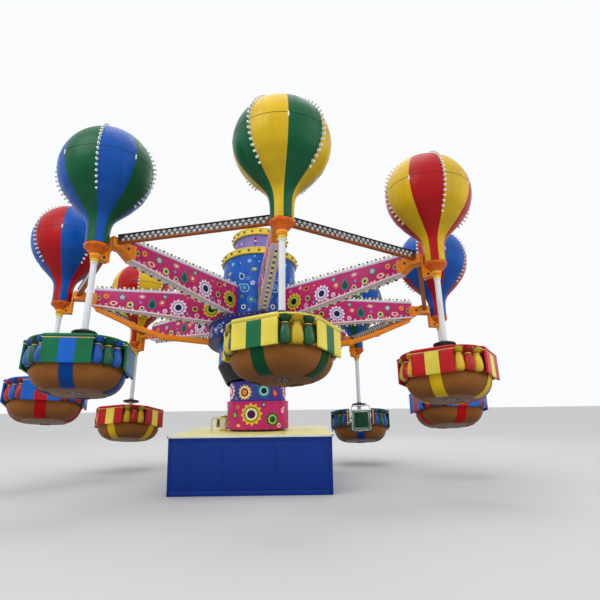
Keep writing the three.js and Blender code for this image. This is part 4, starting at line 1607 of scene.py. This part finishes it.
def build_band(index, pouch):
    """Banners, pouches, straps and rolled rim of one gondola."""
    main, other = GONDOLA_COLOURS[index]
    rim_tone = "shell_" + STRIPE_TONES[main]
    sides = [spin("Z", 90 * quarter) for quarter in (1, 2, 3)]
    band = Assembly()

    def stripes(centre):
        return "shell_" + STRIPE_TONES[other if abs(centre.y) < BANNER_HALF / 3 else main]

    roll_out, roll_height, strap_wide = 0.781, 0.745, 0.21
    roll_ends = [(roll_out, side * BANNER_HALF, roll_height) for side in (-1, 1)]
    roll = tube(roll_ends, 0.032, resolution=4)
    band.add_each(banner_shape(), stripes, sides)
    band.add_each(roll, rim_tone, sides)
    band.add_each(strap_shape(strap_wide, STRAP_LINE), "strap_" + other, sides)
    band.add(strap_shape(strap_wide, [(0.678, 0.152), *STRAP_LINE[5:]]), "strap_" + other)
    for quarter in range(4):
        for place in (-1, 0, 1):
            name = other if place else main
            # A corner's middle pouch stands out a little further than the two beside it.
            out = shift(POUCH_OUT[abs(place)]) @ Matrix.Diagonal((0.97, 0.91, 1, 1))
            spot = spin("Z", 45 + 90 * quarter + POUCH_TURN * place) @ out
            # Each cap takes the darker cap tone: painted shade under the rolled rim.
            for mesh, dress in zip(pouch, ("cap_deep_" + name, "gold_trim", "gloss_" + name)):
                band.add(mesh, dress, spot)
    band.add(tube(rim_path(0.778, 0.846, RIM_HEIGHT + 0.02, 0.31), 0.017, resolution=3), rim_tone)
    band.add(tube(rim_path(0.806, 0.786, 0.708, 0.39), 0.007, resolution=1), "gold_trim")
    add_filler(band, main)
    foot_ring = []
    for step in range(64):
        bearing = math.tau * step / 64
        distance = squircle(0.47, bearing)
        foot_ring.append((distance * math.cos(bearing), distance * math.sin(bearing), 0.004))
    band.add(tube(foot_ring, 0.007, closed=True), "clay_caramel")
    add_door_posts(band)
    return band.mesh()


def add_filler(band, main):
    """Backing between the tub and the rim, behind the pouches, in the caps' darker tone: painted shade
    between and behind the pouches.
    """
    for low, high in ((0.345, 0.385), (0.64, 0.74)):
        path = rim_path(0.745, 0.755, (low + high) / 2, 0.31)
        band.add(tube(path, (high - low) / 2, resolution=2), "cap_deep_" + main)


def add_door_posts(band):
    """Brown jamb mouldings and the hinge lugs beside the doorway."""
    for side in (-1, 1):
        low, high = sorted((side * 0.303, side * 0.388))
        band.add(block((0.716, low, 0.312), (0.806, high, 0.766), 0.012), "jamb_brown")
        ridge = (low + high) / 2
        band.add(block((0.8, ridge - 0.012, 0.34), (0.812, ridge + 0.012, 0.745), 0.004), "gold_trim")
    for low, high in ((0.38, 0.40), (0.681, 0.701)):
        band.add(block((0.785, -0.36, low), (0.839, -0.282, high), 0.004), "chrome")
        band.add(rod(0.014, low, high, 0.001, 16), "chrome", shift(HINGE_X, HINGE_Y))


def build_gate(index):
    """Tube frame gate, in the gondola's frame."""
    main = GONDOLA_COLOURS[index][0]
    bar = sizes().gate_tube
    gate = Assembly()
    middle, panel_top = 0.794, 0.71
    low, high, left, right = 0.175 + bar, 0.865 - bar, -0.245 + bar, 0.285 - bar

    def corners(side, foot, top):
        """Corners of a frame set in from the gate's sides, between two heights."""
        return [(left + side, foot), (right - side, foot), (right - side, top), (left + side, top)]

    def bent(outline, radius, steps):
        return elbowed([(middle, across, height) for across, height in outline], radius, steps, True)

    gate.add(tube(bent(corners(0, low, high), 0.07, 6), bar, closed=True, resolution=3), "chrome")
    gate.add(tube([(middle, left, panel_top + 0.01), (middle, right, panel_top + 0.01)], 0.012), "chrome")
    inner = corners(0.045, low + 0.05, panel_top - 0.03)
    gate.add(tube(bent(inner, 0.04, 5), 0.009, closed=True), "chrome")
    foot, top = (middle - 0.005, left + 0.012, low + 0.012), (middle + 0.005, right - 0.012, panel_top)
    gate.add(block(foot, top, 0.003), "shell_" + main)
    raised = prism(corners(0.075, low + 0.08, panel_top - 0.06), 0.014, 0.005)
    gate.add(raised, "cap_deep_" + main, shift(middle) @ spin("Z", 90))
    gate.add(rod(0.012, 0.4005, 0.6805, 0.001, 20), "chrome", shift(HINGE_X, HINGE_Y))
    for height in (0.45, 0.63):
        gate.add(block((0.8, HINGE_Y, height - 0.025), (0.815, -0.236, height + 0.025), 0.003), "chrome")
    gate.add(block((0.806, 0.225, 0.5), (0.818, 0.27, 0.56), 0.004), "worn_steel")
    return gate.mesh()


# Operators


class RIDE_OT_base(bpy.types.Operator):
    """Build the machinery housing, the deck plate and the short rail on it"""

    bl_idname = "ride.base"
    bl_label = "Base"

    def execute(self, context):
        show("housing", "tower", build_housing(), ORIGIN, ["base_housing"])
        show("deck", "tower", build_deck(), ORIGIN, ["base_deck"])
        show("rail", "tower", build_rail(), ORIGIN, ["deck_rail"])
        return {"FINISHED"}


class RIDE_OT_column(bpy.types.Operator):
    """Build the two painted drums and the stand that the head leans on"""

    bl_idname = "ride.column"
    bl_label = "Column"

    def execute(self, context):
        show("foot", "tower", build_foot_drum(), ORIGIN, ["foot_drum"])
        show("column", "tower", build_column_drum(), ORIGIN, ["column_drum"])
        show("stand", "tower", build_stand(), ORIGIN, ["pivot_stand"])
        return {"FINISHED"}


class RIDE_OT_crown(bpy.types.Operator):
    """Build the leaning head and the four drums of the crown"""

    bl_idname = "ride.crown"
    bl_label = "Head and crown"

    def execute(self, context):
        show("head_skirt", "head", build_head(), head_frame(), ["tilt_head"])
        radius, reach = 0.026, 0.04
        names = ("lamp_green", "lamp_red", "lamp_rust")
        green, red, rust = (lamp(radius, reach, "socket_dark", name) for name in names)
        place = wheel_frame()
        show("crown_foot", "wheel", build_crown_base(), place, ["crown_base"])
        show("crown_body", "wheel", build_crown_drum((green, rust)), place, ["crown_drum"])
        show("crown_collar", "wheel", build_crown_neck((green, red)), place, ["crown_neck"])
        show("crown_top", "wheel", build_crown_cap((rust, rust, green)), place, ["crown_cap"])
        return {"FINISHED"}


class RIDE_OT_arms(bpy.types.Operator):
    """Build the eight painted arms, their cap lamps and the lamp beams between them"""

    bl_idname = "ride.arms"
    bl_label = "Arms and ring beams"

    def execute(self, context):
        radius, reach = sizes().lamp_radius, 0.075
        end_over_brace, end_of_row = 3.5, 3.72
        yellow, navy = (lamp(radius, reach, "socket_white", name) for name in ("lamp_yellow", "lamp_navy"))
        braced = (build_arm(True), build_arm_lamps(yellow, navy, end_over_brace))
        plain = (build_arm(False), build_arm_lamps(yellow, navy, end_of_row))
        beam = build_ring_beam(beam_lamps(sizes().beam_lamp))
        for index in range(ARMS):
            number = index + 1
            arm, lamps = braced if index in BRACED_ARMS else plain
            show(f"arm_dress_{number}", "wheel", arm, arm_frame(index), [f"arm_{number}"])
            show(f"arm_lamps_{number}", "wheel", lamps, arm_frame(index), (), 50)
            name = f"ring_beam_{number}"
            show(f"lamp_beam_{number}", "wheel", beam, arm_frame(index, 0.5), [name], 40)
        return {"FINISHED"}


class RIDE_OT_balloons(bpy.types.Operator):
    """Build the eight balloons and the bulbs along their gores"""

    bl_idname = "ride.balloons"
    bl_label = "Balloons"

    def execute(self, context):
        bulbs = build_bulbs(lamp(sizes().bulb_radius, sizes().bulb_reach, "socket_white", "lamp_white"))
        for index in range(ARMS):
            number = index + 1
            place = pole_frame(index) @ shift(z=BALLOON_CENTRE)
            balloon = build_balloon(index)
            show(f"envelope_{number}", "wheel", balloon, place, [f"balloon_{number}"])
            show(f"envelope_bulbs_{number}", "wheel", bulbs, place, (), 50)
        return {"FINISHED"}


class RIDE_OT_hangers(bpy.types.Operator):
    """Build the cup, bracket, pole and hand wheel at each arm's end"""

    bl_idname = "ride.hangers"
    bl_label = "Hangers"

    def execute(self, context):
        hanger = build_hanger()
        for index in range(ARMS):
            number = index + 1
            show(f"pole_{number}", "wheel", hanger, pole_frame(index), [f"hanger_{number}"])
        return {"FINISHED"}


class RIDE_OT_gondolas(bpy.types.Operator):
    """Build the eight gondolas with their banners and gates"""

    bl_idname = "ride.gondolas"
    bl_label = "Gondolas and gates"

    def execute(self, context):
        tub = build_tub()
        pouch = pouch_parts()
        for index in range(ARMS):
            number = index + 1
            body = f"gondola_{number}"
            place = gondola_frame(index)
            main = GONDOLA_COLOURS[index][0]
            finishes = ["clay_caramel", "shell_" + main, "jamb_brown", "floor_mat"]
            show(f"tub_{number}", body, (tub, finishes), place, [body], 40)
            show(f"tub_band_{number}", body, build_band(index, pouch), place, (), 50)
            gate = f"gate_{number}"
            show(f"tub_gate_{number}", gate, build_gate(index), place, [gate])
        return {"FINISHED"}


class RIDE_OT_stage(bpy.types.Operator):
    """Set the pale floor, the soft lights and the camera"""

    bl_idname = "ride.stage"
    bl_label = "Stage"

    def execute(self, context):
        scene = context.scene
        shape = bmesh.new()
        bmesh.ops.create_grid(shape, x_segments=4, y_segments=4, size=120)
        mesh = mesh_of(shape)
        mesh.materials.append(finish("ground"))
        floor = bpy.data.objects.new("floor", mesh)
        scene.collection.objects.link(floor)
        self.add_lights(scene)
        self.add_camera(scene)
        return {"FINISHED"}

    @staticmethod
    def add_lights(scene):
        world = bpy.data.worlds.new("studio")
        scene.world = world
        world.use_nodes = True
        background = world.node_tree.nodes["Background"]
        background.inputs["Color"].default_value = (0.97, 0.985, 1.0, 1)
        background.inputs["Strength"].default_value = 0.98
        panels = (
            ("key", (-7, -9, 13), 9.0, 500),
            ("fill", (10, -7, 8), 9.0, 160),
            ("top", (0, 2, 16), 12.0, 500),
            ("rim", (4, 13, 10), 8.0, 200),
        )
        for name, place, size, power in panels:
            data = bpy.data.lights.new(name, "AREA")
            data.shape = "DISK"
            data.size = size
            data.energy = power
            light = bpy.data.objects.new(name, data)
            light.location = place
            aim = Vector((0, 0, 2.5)) - Vector(place)
            light.rotation_euler = aim.to_track_quat("-Z", "Y").to_euler()
            scene.collection.objects.link(light)
        scene.view_settings.view_transform = "Standard"

    @staticmethod
    def add_camera(scene):
        """Looks slightly up; lengths on the picture are in pixels of its width."""
        width, focal, lowered = 600, 560.9, 19
        rise, roll = 12.2, -0.013
        data = bpy.data.cameras.new("camera")
        data.sensor_width = 36
        data.lens = data.sensor_width * focal / width
        data.shift_y = -lowered / width
        data.clip_end = 500
        camera = bpy.data.objects.new("camera", data)
        camera.matrix_world = shift(0.99, -12.98, 1.70) @ spin("X", 90 + rise) @ Matrix.Rotation(roll, 4, "Z")
        scene.collection.objects.link(camera)
        scene.camera = camera


OPERATORS = (
    RIDE_OT_base, RIDE_OT_column, RIDE_OT_crown, RIDE_OT_arms,
    RIDE_OT_balloons, RIDE_OT_hangers, RIDE_OT_gondolas, RIDE_OT_stage,
)


class RIDE_PT_panel(bpy.types.Panel):
    """Lists the ride's settings and its building steps."""

    bl_idname = "RIDE_PT_panel"
    bl_label = "Balloon Ride"
    bl_space_type = "VIEW_3D"
    bl_region_type = "UI"
    bl_category = "Balloon Ride"

    def draw(self, context):
        for settings in (context.scene.ride_sizes, context.scene.ride_colours):
            column = self.layout.column(align=True)
            for key in type(settings).__annotations__:
                column.prop(settings, key)
        for operator in OPERATORS:
            self.layout.operator(operator.bl_idname)


CLASSES = (RideColours, RideSizes, *OPERATORS, RIDE_PT_panel)


def register():
    for cls in CLASSES:
        bpy.utils.register_class(cls)
    bpy.types.Scene.ride_colours = bpy.props.PointerProperty(type=RideColours)
    bpy.types.Scene.ride_sizes = bpy.props.PointerProperty(type=RideSizes)


def unregister():
    del bpy.types.Scene.ride_sizes
    del bpy.types.Scene.ride_colours
    for cls in reversed(CLASSES):
        bpy.utils.unregister_class(cls)


def main():
    register()
    for operator in OPERATORS:
        group, _, step = operator.bl_idname.partition(".")
        getattr(getattr(bpy.ops, group), step)()
    for mesh in [mesh for mesh in bpy.data.meshes if mesh.users == 0]:
        bpy.data.meshes.remove(mesh)
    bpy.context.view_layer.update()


if __name__ == "__main__":
    main()
